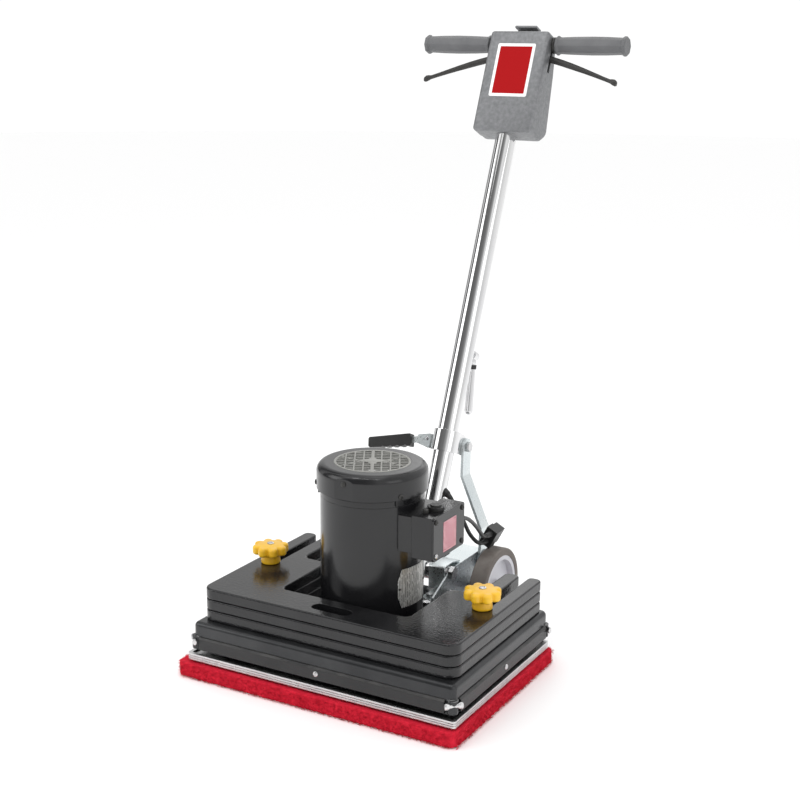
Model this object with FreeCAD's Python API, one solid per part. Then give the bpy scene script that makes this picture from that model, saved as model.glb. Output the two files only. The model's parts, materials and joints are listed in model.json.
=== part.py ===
import FreeCAD, Part
import math
import os

# Rectangular orbital floor machine.  Millimetres, +Z up, -Y to the front, +X to the right.
# The origin is on the floor, under the motor axis.

# --- Driving dimensions: pad and driver ---
PAD_LENGTH = 520.0
PAD_WIDTH = 366.0
PAD_THICK = 27.0
PAD_SHIFT_X = -5.0
DRIVER_LENGTH = 502.0
DRIVER_WIDTH = 350.0
DRIVER_MID_Y = -6.0
GRIPPER_THICK = 2.5
RIM_HEIGHT = 11.5
RIM_WALL = 6.0
DRIVER_PLATE_THICK = 8.0
ORBIT_OFFSET = 3.2          # eccentricity: the pad orbits on a 6.4 mm circle

# --- Driving dimensions: base ---
SHROUD_HALF_X = 245.0
SHROUD_HALF_Y = 173.0
SHROUD_MID_Y = 1.0
SHROUD_Z0 = 46.0
DECK_Z = 94.0
DECK_THICK = 8.0
SKIRT_WALL = 6.0
BUMPER_Z0 = 48.0
BUMPER_Z1 = 70.0
BUMPER_THICK = 4.5

# --- Driving dimensions: weight plates ---
WEIGHT_HALF_X = 237.5
WEIGHT_FRONT_Y = -156.4
WEIGHT_REAR_Y = 164.0
WEIGHT_PITCH = 19.0
WEIGHT_GAP = 0.4
WEIGHT_COUNT = 3
STUD_X = 205.0
KNOB_LOBES = 8
SLOT_WIDTH = 16.0
STACK_TOP = DECK_Z + WEIGHT_COUNT * WEIGHT_PITCH

# --- Driving dimensions: motor ---
MOTOR_R = 86.0
MOTOR_WALL = 6.0
SHELL_Z0 = 112.0
SHELL_Z1 = 312.0
FAN_COVER_R = 92.0
FAN_COVER_Z0 = 324.0
FAN_COVER_Z1 = 366.0
GRILLE_R = 63.5
GRILLE_TURN = 29.4           # the grille's rows run at this angle to the width
FLANGE_R = 106.0
FLANGE_FLAT_Y = 89.0         # the flange is cut flat here, clear of the weight plates
SCREW_CIRCLE_R = 96.0
SHAFT_R = 12.0
TAIL_R = 8.5
BOX_X0 = 100.0
BOX_X1 = 137.0
BOX_Y0 = -47.0
BOX_Y1 = 57.0
BOX_Z0 = 232.0
BOX_Z1 = 303.0

# --- Driving dimensions: yoke, wheels and handle ---
YOKE_HALF_X = 60.0
YOKE_SHEET = 3.0
YOKE_TOP_Z = 133.0
YOKE_PLATE_Y = 187.0        # front edge of the yoke's top plate, behind the pivot sleeve
AXLE_Y = 252.0
AXLE_Z = 79.0
AXLE_R = 8.0
WHEEL_R = 75.0
WHEEL_IN_X = 89.0
WHEEL_OUT_X = 119.0
PIVOT_Y = 170.0
PIVOT_Z = 126.0
PIVOT_R = 8.0
HANDLE_TILT = 22.8          # degrees back from upright
TUBE_R = 19.05
TUBE_WALL = 2.0
TUBE_TOP = 862.0
COLLAR_MID = 228.0
COLLAR_HALF = 19.0
COLLAR_R = 25.0
EAR_BACK = 43.0
BRACE_FOOT_Y = 290.0
BRACE_FOOT_Z = 116.0
BRACE_WIDTH = 30.0
BRACE_SHEET = 5.0
BOX_BOTTOM = 800.0
BOX_TOP = 992.0
BOX_HALF_X = 58.5
BOX_FRONT_Y = -29.0
SPLIT_Y = 6.0
BAR_Z = 974.7
GRIP_END_X = 202.0
GRIP_INNER_X = 66.0
TRIGGER_PIN_X = 40.0
TRIGGER_PIN_Z = 953.0
HOOK_Z = 395.0
GROMMET_Z = 138.0
GROMMET_DROOP = 35.0
RUN_FIT = 0.05              # running clearance of shafts in bearings
SLIDE_FIT = 0.1

X_AXIS = FreeCAD.Vector(1, 0, 0)
Y_AXIS = FreeCAD.Vector(0, 1, 0)
Z_AXIS = FreeCAD.Vector(0, 0, 1)
ORIGIN = FreeCAD.Vector(0, 0, 0)


# --- Small helpers ---
def block(x0, x1, y0, y1, z0, z1):
    """A box given by its limits."""
    return Part.makeBox(x1 - x0, y1 - y0, z1 - z0, FreeCAD.Vector(x0, y0, z0))


def rod(start, radius, length, axis=Z_AXIS):
    """A cylinder from a start point along an axis."""
    return Part.makeCylinder(radius, length, FreeCAD.Vector(*start), axis)


def ring(start, outer, inner, length, axis=Z_AXIS):
    """A hollow cylinder."""
    return rod(start, outer, length, axis).cut(rod(start, inner, length, axis))


def rounded_wire(points, place):
    """A closed wire through (a, b, radius) corners, each rounded by its own radius."""
    edges = []
    count = len(points)
    ends = []
    for i in range(count):
        a, b, radius = points[i]
        here = FreeCAD.Vector(a, b, 0)
        back = FreeCAD.Vector(points[i - 1][0], points[i - 1][1], 0) - here
        ahead = FreeCAD.Vector(points[(i + 1) % count][0], points[(i + 1) % count][1], 0) - here
        if radius <= 0:
            ends.append((here, here, None))
            continue
        back.normalize()
        ahead.normalize()
        half = back.getAngle(ahead) / 2
        trim = radius / math.tan(half)
        middle = back + ahead
        middle.normalize()
        top = here + middle * (radius / math.sin(half) - radius)
        ends.append((here + back * trim, here + ahead * trim, top))
    for i in range(count):
        first, last, top = ends[i]
        if top is not None:
            edges.append(Part.Arc(place(first), place(top), place(last)).toShape())
        following = ends[(i + 1) % count][0]
        if (following - last).Length > 1e-6:
            edges.append(Part.LineSegment(place(last), place(following)).toShape())
    return Part.Wire(edges)


def plan_slab(points, z0, z1):
    """A plate with a rounded outline in plan, from z0 to z1."""
    wire = rounded_wire(points, lambda p: FreeCAD.Vector(p.x, p.y, z0))
    return Part.Face(wire).extrude(FreeCAD.Vector(0, 0, z1 - z0))


def side_slab(points, x0, x1):
    """A plate with a rounded outline seen from the side, (y, z), from x0 to x1."""
    wire = rounded_wire(points, lambda p: FreeCAD.Vector(x0, p.x, p.y))
    return Part.Face(wire).extrude(FreeCAD.Vector(x1 - x0, 0, 0))


def front_slab(points, y0, y1):
    """A plate with a rounded outline seen from the front, (x, z), from y0 to y1."""
    wire = rounded_wire(points, lambda p: FreeCAD.Vector(p.x, y0, p.y))
    return Part.Face(wire).extrude(FreeCAD.Vector(0, y1 - y0, 0))


def rectangle(half_x, half_y, mid_y, radius, mid_x=0.0):
    """The four rounded corners of a rectangle in plan."""
    return [
        (mid_x - half_x, mid_y - half_y, radius),
        (mid_x + half_x, mid_y - half_y, radius),
        (mid_x + half_x, mid_y + half_y, radius),
        (mid_x - half_x, mid_y + half_y, radius),
    ]


def mirrored(shape):
    """The same piece on the other side of the machine."""
    return shape.mirror(ORIGIN, X_AXIS)


def hexagon(start, radius, length, axis):
    """A hexagonal head or nut."""
    corners = [FreeCAD.Vector(radius * math.cos(math.radians(60 * i)),
                              radius * math.sin(math.radians(60 * i)), 0) for i in range(7)]
    face = Part.Face(Part.makePolygon(corners))
    solid = face.extrude(FreeCAD.Vector(0, 0, length))
    solid.Placement = FreeCAD.Placement(FreeCAD.Vector(*start), FreeCAD.Rotation(Z_AXIS, axis))
    return solid


def on_handle(shape):
    """Move a shape from the handle's frame (z along the tube, y to the rear) into place."""
    moved = shape.copy()
    moved.rotate(ORIGIN, X_AXIS, -HANDLE_TILT)
    moved.translate(FreeCAD.Vector(0, PIVOT_Y, PIVOT_Z))
    return moved


def handle_point(x, y, z):
    """A point of the handle's frame in the machine's frame."""
    tilt = math.radians(HANDLE_TILT)
    world_y = PIVOT_Y + z * math.sin(tilt) + y * math.cos(tilt)
    world_z = PIVOT_Z + z * math.cos(tilt) - y * math.sin(tilt)
    return (x, world_y, world_z)


def cable(name, points, radius):
    """A cable of straight runs joined by tangent arcs, as large as the runs allow."""
    spots = [FreeCAD.Vector(*p) for p in points]
    edges = []
    radii = []
    at = spots[0]
    for i in range(1, len(spots) - 1):
        back = spots[i - 1] - spots[i]
        ahead = spots[i + 1] - spots[i]
        trim = 0.45 * min(back.Length, ahead.Length)
        back.normalize()
        ahead.normalize()
        half_turn = (math.pi - back.getAngle(ahead)) / 2
        arc_radius = trim / math.tan(half_turn)
        middle = back + ahead
        middle.normalize()
        reach = arc_radius / math.cos(half_turn) - arc_radius
        first = spots[i] + back * trim
        last = spots[i] + ahead * trim
        edges.append(Part.LineSegment(at, first).toShape())
        edges.append(Part.Arc(first, spots[i] + middle * reach, last).toShape())
        radii.append(round(arc_radius, 1))
        at = last
    edges.append(Part.LineSegment(at, spots[-1]).toShape())
    path = Part.Wire(edges)
    section = Part.Wire(Part.makeCircle(radius, spots[0], spots[1] - spots[0]))
    solid = path.makePipeShell([section], True, False)
    expected = math.pi * radius ** 2 * path.Length
    print(name, "length", round(path.Length, 1), "radii", radii,
          "volume ratio", round(solid.Volume / expected, 4))
    return solid


def save(name, *solids):
    """Write one named piece, or a group of identical ones, as a STEP file."""
    shape = solids[0] if len(solids) == 1 else Part.makeCompound(list(solids))
    shape.exportStep("parts/" + name + ".step")
    whole = all(s.isValid() for s in solids)
    print(name, "solids", len(shape.Solids), "valid", whole, "volume", round(shape.Volume))


# --- Pad, driver and eccentric drive ---
def floor_pad():
    """Rectangular scouring pad, held by the hooks of the gripper face above it."""
    outline = rectangle(PAD_LENGTH / 2, PAD_WIDTH / 2, DRIVER_MID_Y, 12.0, PAD_SHIFT_X)
    return plan_slab(outline, 0.0, PAD_THICK)


def pad_gripper():
    """Hook face bonded under the driver plate."""
    outline = rectangle(DRIVER_LENGTH / 2 - 4, DRIVER_WIDTH / 2 - 4, DRIVER_MID_Y, 8.0)
    return plan_slab(outline, PAD_THICK, PAD_THICK + GRIPPER_THICK)


def driver_plate():
    """Flat aluminium plate with a central hole under the eccentric journal."""
    z0 = PAD_THICK + GRIPPER_THICK
    outline = rectangle(DRIVER_LENGTH / 2 - RIM_WALL, DRIVER_WIDTH / 2 - RIM_WALL, DRIVER_MID_Y, 3.0)
    plate = plan_slab(outline, z0, z0 + DRIVER_PLATE_THICK)
    return plate.cut(rod((0, -ORBIT_OFFSET, z0), 20.0, DRIVER_PLATE_THICK))


def driver_rim():
    """Ridged aluminium extrusion round the driver plate."""
    z0 = PAD_THICK + GRIPPER_THICK
    outer = rectangle(DRIVER_LENGTH / 2, DRIVER_WIDTH / 2, DRIVER_MID_Y, 5.0)
    inner = rectangle(DRIVER_LENGTH / 2 - RIM_WALL, DRIVER_WIDTH / 2 - RIM_WALL, DRIVER_MID_Y, 3.0)
    frame = plan_slab(outer, z0, z0 + RIM_HEIGHT).cut(plan_slab(inner, z0, z0 + RIM_HEIGHT))
    groove_depth = 1.2
    core = rectangle(DRIVER_LENGTH / 2 - groove_depth, DRIVER_WIDTH / 2 - groove_depth, DRIVER_MID_Y, 4.0)
    for level in (3.2, 7.0):
        z = z0 + level
        groove = plan_slab(outer, z, z + 1.4).cut(plan_slab(core, z, z + 1.4))
        frame = frame.cut(groove)
    return frame


HOUSING_Z0 = PAD_THICK + GRIPPER_THICK + DRIVER_PLATE_THICK
BEARING_Z0 = HOUSING_Z0 + 6.5
BEARING_R = 31.0
BEARING_HEIGHT = 16.0
JOURNAL_R = 15.0


def bearing_housing():
    """Cast cup on the driver plate that holds the orbit bearing."""
    flange = rod((0, -ORBIT_OFFSET, HOUSING_Z0), 56.0, 6.5)
    cup = rod((0, -ORBIT_OFFSET, HOUSING_Z0), 40.0, 24.0)
    bore = rod((0, -ORBIT_OFFSET, BEARING_Z0), BEARING_R, 30.0)
    relief = rod((0, -ORBIT_OFFSET, HOUSING_Z0), 20.0, 10.0)
    return flange.fuse(cup).cut(bore).cut(relief)


def orbit_bearing():
    """Ball bearing between the eccentric journal and the driver."""
    return ring((0, -ORBIT_OFFSET, BEARING_Z0), BEARING_R, JOURNAL_R + RUN_FIT, BEARING_HEIGHT)


HUB_Z0 = BEARING_Z0 + BEARING_HEIGHT + 5.0


def eccentric_hub():
    """Hub on the motor shaft: an offset journal below, a half-moon counterweight opposite it."""
    hub = rod((0, 0, HUB_Z0), 24.0, 26.0)
    journal = rod((0, -ORBIT_OFFSET, BEARING_Z0 - 2), JOURNAL_R, HUB_Z0 - BEARING_Z0 + 2)
    weight = rod((0, 0, HUB_Z0 + 2), 62.0, 12.0).cut(block(-70, 70, -70, 8, HUB_Z0, HUB_Z0 + 20))
    bore = rod((0, 0, HUB_Z0 + 3), SHAFT_R, 30.0)
    return hub.fuse(journal).fuse(weight).cut(bore)


# --- Base ---
def shroud_outline(inset, radius):
    return rectangle(SHROUD_HALF_X - inset, SHROUD_HALF_Y - inset, SHROUD_MID_Y, radius)


ISOLATOR_X = 190.0
ISOLATOR_Y = 122.0


def isolator_places():
    return [(x, y) for x in (-ISOLATOR_X, ISOLATOR_X) for y in (-ISOLATOR_Y, ISOLATOR_Y)]


def base_shroud():
    """Cast deck with a downward skirt, isolator pads and rounded corner knuckles."""
    shell = plan_slab(shroud_outline(0, 10.0), SHROUD_Z0, DECK_Z)
    top_edges = [e for e in shell.Edges if e.BoundBox.ZMin > DECK_Z - 0.01]
    shell = shell.makeFillet(8.0, top_edges)
    shell = shell.cut(plan_slab(shroud_outline(SKIRT_WALL, 5.0), SHROUD_Z0, DECK_Z - DECK_THICK))
    for x, y in isolator_places():
        shell = shell.fuse(rod((x, y, 78.0), 23.0, DECK_Z - DECK_THICK - 78.0))
    for x in (-239.5, 239.5):
        for y in (-167.5, 167.5):
            knuckle = rod((x, y + SHROUD_MID_Y, BUMPER_Z0), 9.0, BUMPER_Z1 - BUMPER_Z0)
            core = rod((x, y + SHROUD_MID_Y, BUMPER_Z0 - 1), 3.0, BUMPER_Z1 - BUMPER_Z0 + 2)
            shell = shell.fuse(knuckle.cut(plan_slab(shroud_outline(0.5, 9.5), 40.0, 80.0)).cut(core))
    shell = shell.cut(rod((0, 0, 80.0), 30.0, 20.0))
    for side in (-1, 1):
        shell = shell.cut(rod((side * STUD_X, 0, 80.0), 6.0, 20.0))
    return shell.removeSplitter()


def strip(length_axis, side):
    """One bumper: a channel strip with a chamfered top lip along one side of the skirt."""
    half_x = SHROUD_HALF_X
    half_y = SHROUD_HALF_Y
    t = BUMPER_THICK
    z0 = BUMPER_Z0
    z1 = BUMPER_Z1
    profile = [(0, z0), (t - 1, z0), (t, z0 + 1), (t, z1 - 3), (t - 3, z1), (0, z1)]
    if length_axis == "x":
        run = 2 * half_x - 30
        points = [FreeCAD.Vector(-run / 2, SHROUD_MID_Y + side * (half_y + p), z) for p, z in profile]
        sweep = FreeCAD.Vector(run, 0, 0)
    else:
        run = 2 * half_y - 30
        points = [FreeCAD.Vector(side * (half_x + p), SHROUD_MID_Y - run / 2, z) for p, z in profile]
        sweep = FreeCAD.Vector(0, run, 0)
    face = Part.Face(Part.makePolygon(points + [points[0]]))
    return face.extrude(sweep)


def bumper_strips():
    """Four strips; the rear one is thinned where the tyres come close."""
    rear = strip("x", 1)
    back_face = SHROUD_MID_Y + SHROUD_HALF_Y
    for side in (-1, 1):
        near = side * (WHEEL_IN_X - 4)
        far = side * (WHEEL_OUT_X + 4)
        relief = block(min(near, far), max(near, far), back_face + 1.5, back_face + 10,
                       BUMPER_Z0 - 1, BUMPER_Z1 + 1)
        rear = rear.cut(relief)
    return [strip("x", -1), rear, strip("y", -1), strip("y", 1)]


def bumper_rivets():
    """One domed rivet in the middle of each strip."""
    z = (BUMPER_Z0 + BUMPER_Z1) / 2
    rivets = []
    for side in (-1, 1):
        across = FreeCAD.Vector(0, side, 0)
        at_y = SHROUD_MID_Y + side * (SHROUD_HALF_Y + BUMPER_THICK)
        rivets.append(rod((0, at_y, z), 4.0, 1.2, across))
        along = FreeCAD.Vector(side, 0, 0)
        at_x = side * (SHROUD_HALF_X + BUMPER_THICK)
        rivets.append(rod((at_x, SHROUD_MID_Y, z), 4.0, 1.2, along))
    return rivets


def isolators():
    """Rubber spools between the deck and the driver plate."""
    z0 = HOUSING_Z0 + 0.4
    height = 78.0 - z0
    spools = []
    for x, y in isolator_places():
        waist = ring((x, y, z0 + 8), 22.0, 17.0, height - 16)
        spools.append(rod((x, y, z0), 22.0, height).cut(waist))
    return spools


def weight_studs():
    """Threaded studs that stand up from the deck through the weight plates."""
    studs = []
    for side in (-1, 1):
        stud = rod((side * STUD_X, 0, DECK_Z - DECK_THICK), 6.0, 98.0)
        nut = hexagon((side * STUD_X, 0, DECK_Z - DECK_THICK - 7), 11.0, 7.0, Z_AXIS)
        studs.append(stud.fuse(nut))
    return studs


def deck_screws():
    """Hexagon screws of the motor flange and of the yoke feet."""
    screws = []
    for corner in range(4):
        turn = math.radians(45 + 90 * corner)
        x = SCREW_CIRCLE_R * math.cos(turn)
        y = SCREW_CIRCLE_R * math.sin(turn)
        screws.append(hexagon((x, y, 104.0), 7.0, 6.0, Z_AXIS))
    for side in (-1, 1):
        for y in (118.0, 146.0):
            screws.append(hexagon((side * 46.0, y, DECK_Z + YOKE_SHEET), 7.0, 6.0, Z_AXIS))
    return screws


# --- Weight plates and their knobs ---
def weight_outline():
    """Plan of a plate: motor bay and two stud slots, all open to the rear."""
    half_slot = SLOT_WIDTH / 2
    right = [
        (WEIGHT_HALF_X, WEIGHT_FRONT_Y, 22.0),
        (WEIGHT_HALF_X, WEIGHT_REAR_Y, 10.0),
        (STUD_X + half_slot, WEIGHT_REAR_Y, 9.0),
        (STUD_X + half_slot, -10.0, half_slot - 0.1),
        (STUD_X - half_slot, -10.0, half_slot - 0.1),
        (STUD_X - half_slot, WEIGHT_REAR_Y, 10.0),
        (170.0, WEIGHT_REAR_Y, 10.0),
        (170.0, 50.0, 14.0),
        (120.0, 50.0, 16.0),
        (120.0, -92.0, 12.0),
    ]
    left = [(-x, y, r) for x, y, r in reversed(right)]
    return right + left


def weight_plate(index):
    """One steel weight plate with a lifting slot near its front edge."""
    z0 = DECK_Z + index * WEIGHT_PITCH + WEIGHT_GAP / 2
    z1 = z0 + WEIGHT_PITCH - WEIGHT_GAP
    plate = plan_slab(weight_outline(), z0, z1)
    rims = [e for e in plate.Edges if e.BoundBox.ZLength < 0.01]
    plate = plate.makeFillet(3.0, rims)
    slot = plan_slab(rectangle(36.0, 12.0, -127.0, 11.0), z0 - 1, z1 + 1)
    return plate.cut(slot)


def star_knob(side):
    """Eight-lobed clamping knob on a stud."""
    x = side * STUD_X
    base = rod((x, 0, STACK_TOP), 17.0, 20.0)
    star = rod((x, 0, STACK_TOP + 17), 24.0, 17.0)
    for lobe in range(KNOB_LOBES):
        turn = math.radians(360.0 * lobe / KNOB_LOBES)
        star = star.fuse(rod((x + 23 * math.cos(turn), 23 * math.sin(turn), STACK_TOP + 17), 8.0, 17.0))
    cap = rod((x, 0, STACK_TOP + 34), 10.0, 2.0)
    knob = base.fuse(star).fuse(cap)
    return knob.cut(rod((x, 0, STACK_TOP - 1), 6.0 + SLIDE_FIT, 40.0)).removeSplitter()


# --- Motor ---
def motor_shell():
    return ring((0, 0, SHELL_Z0), MOTOR_R, MOTOR_R - MOTOR_WALL, SHELL_Z1 - SHELL_Z0)


def drive_end_bell():
    """Flanged lower end of the motor, with the seat of its main bearing."""
    flange = rod((0, 0, DECK_Z), FLANGE_R, 10.0)
    front_flat = block(-FLANGE_R, FLANGE_R, -FLANGE_R - 1, -FLANGE_FLAT_Y, DECK_Z - 1, DECK_Z + 11)
    body = rod((0, 0, DECK_Z), MOTOR_R, SHELL_Z0 - DECK_Z)
    bell = flange.cut(front_flat).fuse(body)
    return bell.cut(rod((0, 0, DECK_Z + 3), 26.0, 20.0)).cut(rod((0, 0, 90.0), 15.0, 20.0))


def fan_end_bell():
    """Upper end of the motor, with lugs that carry the fan cover."""
    disc = rod((0, 0, SHELL_Z1), MOTOR_R, 10.0)
    boss = rod((0, 0, SHELL_Z1 - 12), 28.0, 22.0)
    bell = disc.fuse(boss)
    for angle in COVER_SCREW_ANGLES:
        lug = block(72.0, FAN_COVER_R - 2.6, -7.0, 7.0, SHELL_Z1 + 2, SHELL_Z1 + 24)
        lug.rotate(ORIGIN, Z_AXIS, angle)
        bell = bell.fuse(lug)
    seat = rod((0, 0, SHELL_Z1 - 13), 20.0, 17.0)
    return bell.cut(seat).cut(rod((0, 0, SHELL_Z1), 11.0, 12.0))


def motor_bearings():
    """The two ball bearings in the end bells."""
    main = ring((0, 0, DECK_Z + 3), 26.0, SHAFT_R + RUN_FIT, 15.0)
    tail = ring((0, 0, SHELL_Z1 - 10), 20.0, TAIL_R + RUN_FIT, 14.0)
    return [main, tail]


def stator():
    """Laminated core with its end turns of copper."""
    core = ring((0, 0, 150.0), MOTOR_R - MOTOR_WALL, 46.0, 100.0)
    lower = ring((0, 0, 130.0), 74.0, 52.0, 20.0)
    upper = ring((0, 0, 250.0), 74.0, 52.0, 22.0)
    return core.fuse(lower).fuse(upper)


def rotor():
    return ring((0, 0, 148.0), 45.4, SHAFT_R, 104.0)


def motor_shaft():
    """Shaft, stepped down for the tail bearing and the fan."""
    main = rod((0, 0, HUB_Z0 + 3), SHAFT_R, 300.0 - HUB_Z0 - 3)
    tail = rod((0, 0, 300.0), TAIL_R, 44.0)
    return main.fuse(tail)


def cooling_fan():
    """Radial fan on the upper end of the shaft."""
    fan = rod((0, 0, 327.0), 17.0, 16.0).fuse(rod((0, 0, 327.0), 68.0, 2.0))
    for blade in range(8):
        vane = block(14.0, 70.0, -1.2, 1.2, 328.0, 345.0)
        vane.rotate(ORIGIN, Z_AXIS, 45.0 * blade + 10)
        fan = fan.fuse(vane)
    return fan.cut(rod((0, 0, 326.0), TAIL_R, 18.0))


COVER_SCREW_ANGLES = (-150.0, -30.0, 90.0)
COVER_SCREW_Z = 330.0


def fan_cover():
    """Pressed cup over the fan, with a small flat facet at the front."""
    height = FAN_COVER_Z1 - FAN_COVER_Z0
    outer = rod((0, 0, FAN_COVER_Z0), FAN_COVER_R, height)
    outer = outer.makeFillet(14.0, [e for e in outer.Edges if e.BoundBox.ZMin > FAN_COVER_Z1 - 0.1])
    inner = rod((0, 0, FAN_COVER_Z0), FAN_COVER_R - 2.4, height - 2.4)
    inner = inner.makeFillet(12.0, [e for e in inner.Edges if e.BoundBox.ZMin > FAN_COVER_Z1 - 2.5])
    facet = block(-18.0, 18.0, -FAN_COVER_R - 5, -FAN_COVER_R + 1.6, FAN_COVER_Z0 - 1, FAN_COVER_Z1 + 1)
    cover = outer.cut(inner).cut(facet)
    return cover.cut(rod((0, 0, FAN_COVER_Z1 - 5), GRILLE_R, 10.0))


def fan_grille():
    """Round grille: parallel bars joined by cross ribs round a solid centre."""
    z0 = FAN_COVER_Z1 - 3.0
    disc = rod((0, 0, z0), GRILLE_R, 3.0)
    pitch = 10.5
    slots = []
    for row in range(-5, 6):
        y = row * pitch
        reach = math.sqrt((GRILLE_R - 5) ** 2 - y ** 2)
        x = 3.0
        while x + 5 < reach:
            end = min(x + 14.0, reach)
            for side in (-1, 1):
                slots.append(block(min(side * x, side * end), max(side * x, side * end),
                                   y - 3.2, y + 3.2, z0 - 1, z0 + 4))
            x += 17.0
    grille = disc.cut(Part.makeCompound(slots))
    grille = grille.fuse(rod((0, 0, z0), 13.0, 3.0)).removeSplitter()
    grille.rotate(ORIGIN, Z_AXIS, GRILLE_TURN)
    return grille


def case_screws():
    """Small round-headed screws of the fan cover and of the conduit box cover."""
    screws = []
    for angle in COVER_SCREW_ANGLES:
        turn = math.radians(angle)
        axis = FreeCAD.Vector(math.cos(turn), math.sin(turn), 0)
        start = axis * FAN_COVER_R
        screws.append(rod((start.x, start.y, COVER_SCREW_Z), 4.0, 2.5, axis))
    for y in (BOX_Y0 + 7, BOX_Y1 - 7):
        for z in (BOX_Z0 + 7, BOX_Z1 - 7):
            screws.append(rod((BOX_X1 + 3.5, y, z), 4.0, 2.5, X_AXIS))
    return screws


def motor_nameplate():
    """Thin curved rating plate on the right of the motor shell."""
    plate = ring((0, 0, 138.0), MOTOR_R + 1.0, MOTOR_R, 66.0)
    wedge = [
        FreeCAD.Vector(0, 0, 138.0),
        FreeCAD.Vector(130.0 * math.cos(math.radians(-31)), 130.0 * math.sin(math.radians(-31)), 138.0),
        FreeCAD.Vector(130.0, 0, 138.0),
        FreeCAD.Vector(130.0 * math.cos(math.radians(18)), 130.0 * math.sin(math.radians(18)), 138.0),
        FreeCAD.Vector(0, 0, 138.0),
    ]
    sector = Part.Face(Part.makePolygon(wedge)).extrude(FreeCAD.Vector(0, 0, 66.0))
    return plate.common(sector)


def conduit_box():
    """Wiring box on the right of the motor, with a neck that fits the shell."""
    wall = 3.5
    body = block(BOX_X0, BOX_X1, BOX_Y0, BOX_Y1, BOX_Z0, BOX_Z1)
    neck = block(66.0, BOX_X0 + 1, BOX_Y0 + 2.5, BOX_Y1 - 7, BOX_Z0 + 6, BOX_Z1 - 4)
    body = body.fuse(neck).cut(rod((0, 0, BOX_Z0 - 5), MOTOR_R, 90.0))
    room = block(BOX_X0 + wall, BOX_X1 + 1, BOX_Y0 + wall, BOX_Y1 - wall, BOX_Z0 + wall, BOX_Z1 - wall)
    passage = block(60.0, BOX_X0 + 10, -20.0, 28.0, BOX_Z0 + 14, BOX_Z1 - 14)
    return body.cut(room).cut(passage)


def conduit_cover():
    """Flat cover of the wiring box."""
    points = [(BOX_Y0 - 1, BOX_Z0 - 1, 5.0), (BOX_Y1 + 1, BOX_Z0 - 1, 5.0),
              (BOX_Y1 + 1, BOX_Z1 + 1, 5.0), (BOX_Y0 - 1, BOX_Z1 + 1, 5.0)]
    return side_slab(points, BOX_X1, BOX_X1 + 3.5)


GLAND_X = 118.0
GLAND_Z = 262.0


def conduit_glands():
    """Lead gland on the rear of the wiring box and the blanking plug on its top."""
    gland = rod((GLAND_X, BOX_Y1, GLAND_Z), 9.0, 12.0, Y_AXIS)
    plug = rod((120.0, -3.0, BOX_Z1), 13.0, 7.0).fuse(rod((120.0, -3.0, BOX_Z1 + 6), 9.0, 4.0))
    return [gland, plug]


# --- Yoke, axle and wheels ---
def yoke_cheek():
    """Right side plate of the yoke, from the deck back to the axle and the brace foot."""
    outline = [
        (104.0, DECK_Z, 0.0),
        (176.0, DECK_Z, 2.0),
        (196.0, 58.0, 10.0),
        (272.0, 58.0, 18.0),
        (306.0, 98.0, 14.0),
        (306.0, YOKE_TOP_Z, 10.0),
        (172.0, YOKE_TOP_Z, 6.0),
        (104.0, DECK_Z + YOKE_SHEET + 4, 2.0),
    ]
    return side_slab(outline, YOKE_HALF_X - YOKE_SHEET, YOKE_HALF_X)


def handle_yoke():
    """Galvanised yoke: two cheeks, a slotted top, foot flanges and a rear web."""
    cheek = yoke_cheek()
    foot = block(34.0, YOKE_HALF_X, 104.0, 160.0, DECK_Z, DECK_Z + YOKE_SHEET)
    side = cheek.fuse(foot)
    top = block(-YOKE_HALF_X + 1, YOKE_HALF_X - 1, YOKE_PLATE_Y, 297.0, YOKE_TOP_Z - YOKE_SHEET, YOKE_TOP_Z)
    slot = plan_slab(rectangle(22.0, 60.0, 186.0, 8.0), YOKE_TOP_Z - 10, YOKE_TOP_Z + 1)
    web = block(-YOKE_HALF_X + 1, YOKE_HALF_X - 1, 294.0, 297.0, 98.0, YOKE_TOP_Z)
    yoke = side.fuse(mirrored(side)).fuse(top.cut(slot)).fuse(web)
    across = FreeCAD.Vector(1, 0, 0)
    yoke = yoke.cut(rod((-80, PIVOT_Y, PIVOT_Z), PIVOT_R, 160.0, across))
    yoke = yoke.cut(rod((-80, AXLE_Y, AXLE_Z), AXLE_R, 160.0, across))
    return yoke.removeSplitter()


def yoke_bolts():
    """Handle pivot bolt and the two brace foot bolts."""
    pivot = rod((-YOKE_HALF_X, PIVOT_Y, PIVOT_Z), PIVOT_R, 2 * YOKE_HALF_X, X_AXIS)
    pivot = pivot.fuse(hexagon((YOKE_HALF_X, PIVOT_Y, PIVOT_Z), 13.0, 8.0, X_AXIS))
    pivot = pivot.fuse(hexagon((-YOKE_HALF_X - 8, PIVOT_Y, PIVOT_Z), 13.0, 8.0, X_AXIS))
    bolts = [pivot]
    reach = BRACE_SHEET + 1.6
    shank = rod((YOKE_HALF_X, BRACE_FOOT_Y, BRACE_FOOT_Z), 4.0, reach, X_AXIS)
    washer = rod((YOKE_HALF_X + reach, BRACE_FOOT_Y, BRACE_FOOT_Z), 17.0, 1.6, X_AXIS)
    head = hexagon((YOKE_HALF_X + reach + 1.6, BRACE_FOOT_Y, BRACE_FOOT_Z), 7.5, 5.0, X_AXIS)
    foot = shank.fuse(washer).fuse(head)
    bolts.append(foot)
    bolts.append(mirrored(foot))
    return bolts


def wheel_axle():
    """Axle with a spacer sleeve between the yoke and each wheel."""
    axle = rod((-124.0, AXLE_Y, AXLE_Z), AXLE_R, 248.0, X_AXIS)
    gap = WHEEL_IN_X - 0.4 - YOKE_HALF_X
    for start in (YOKE_HALF_X, -WHEEL_IN_X + 0.4):
        axle = axle.fuse(rod((start, AXLE_Y, AXLE_Z), 13.0, gap, X_AXIS))
    return axle


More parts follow.
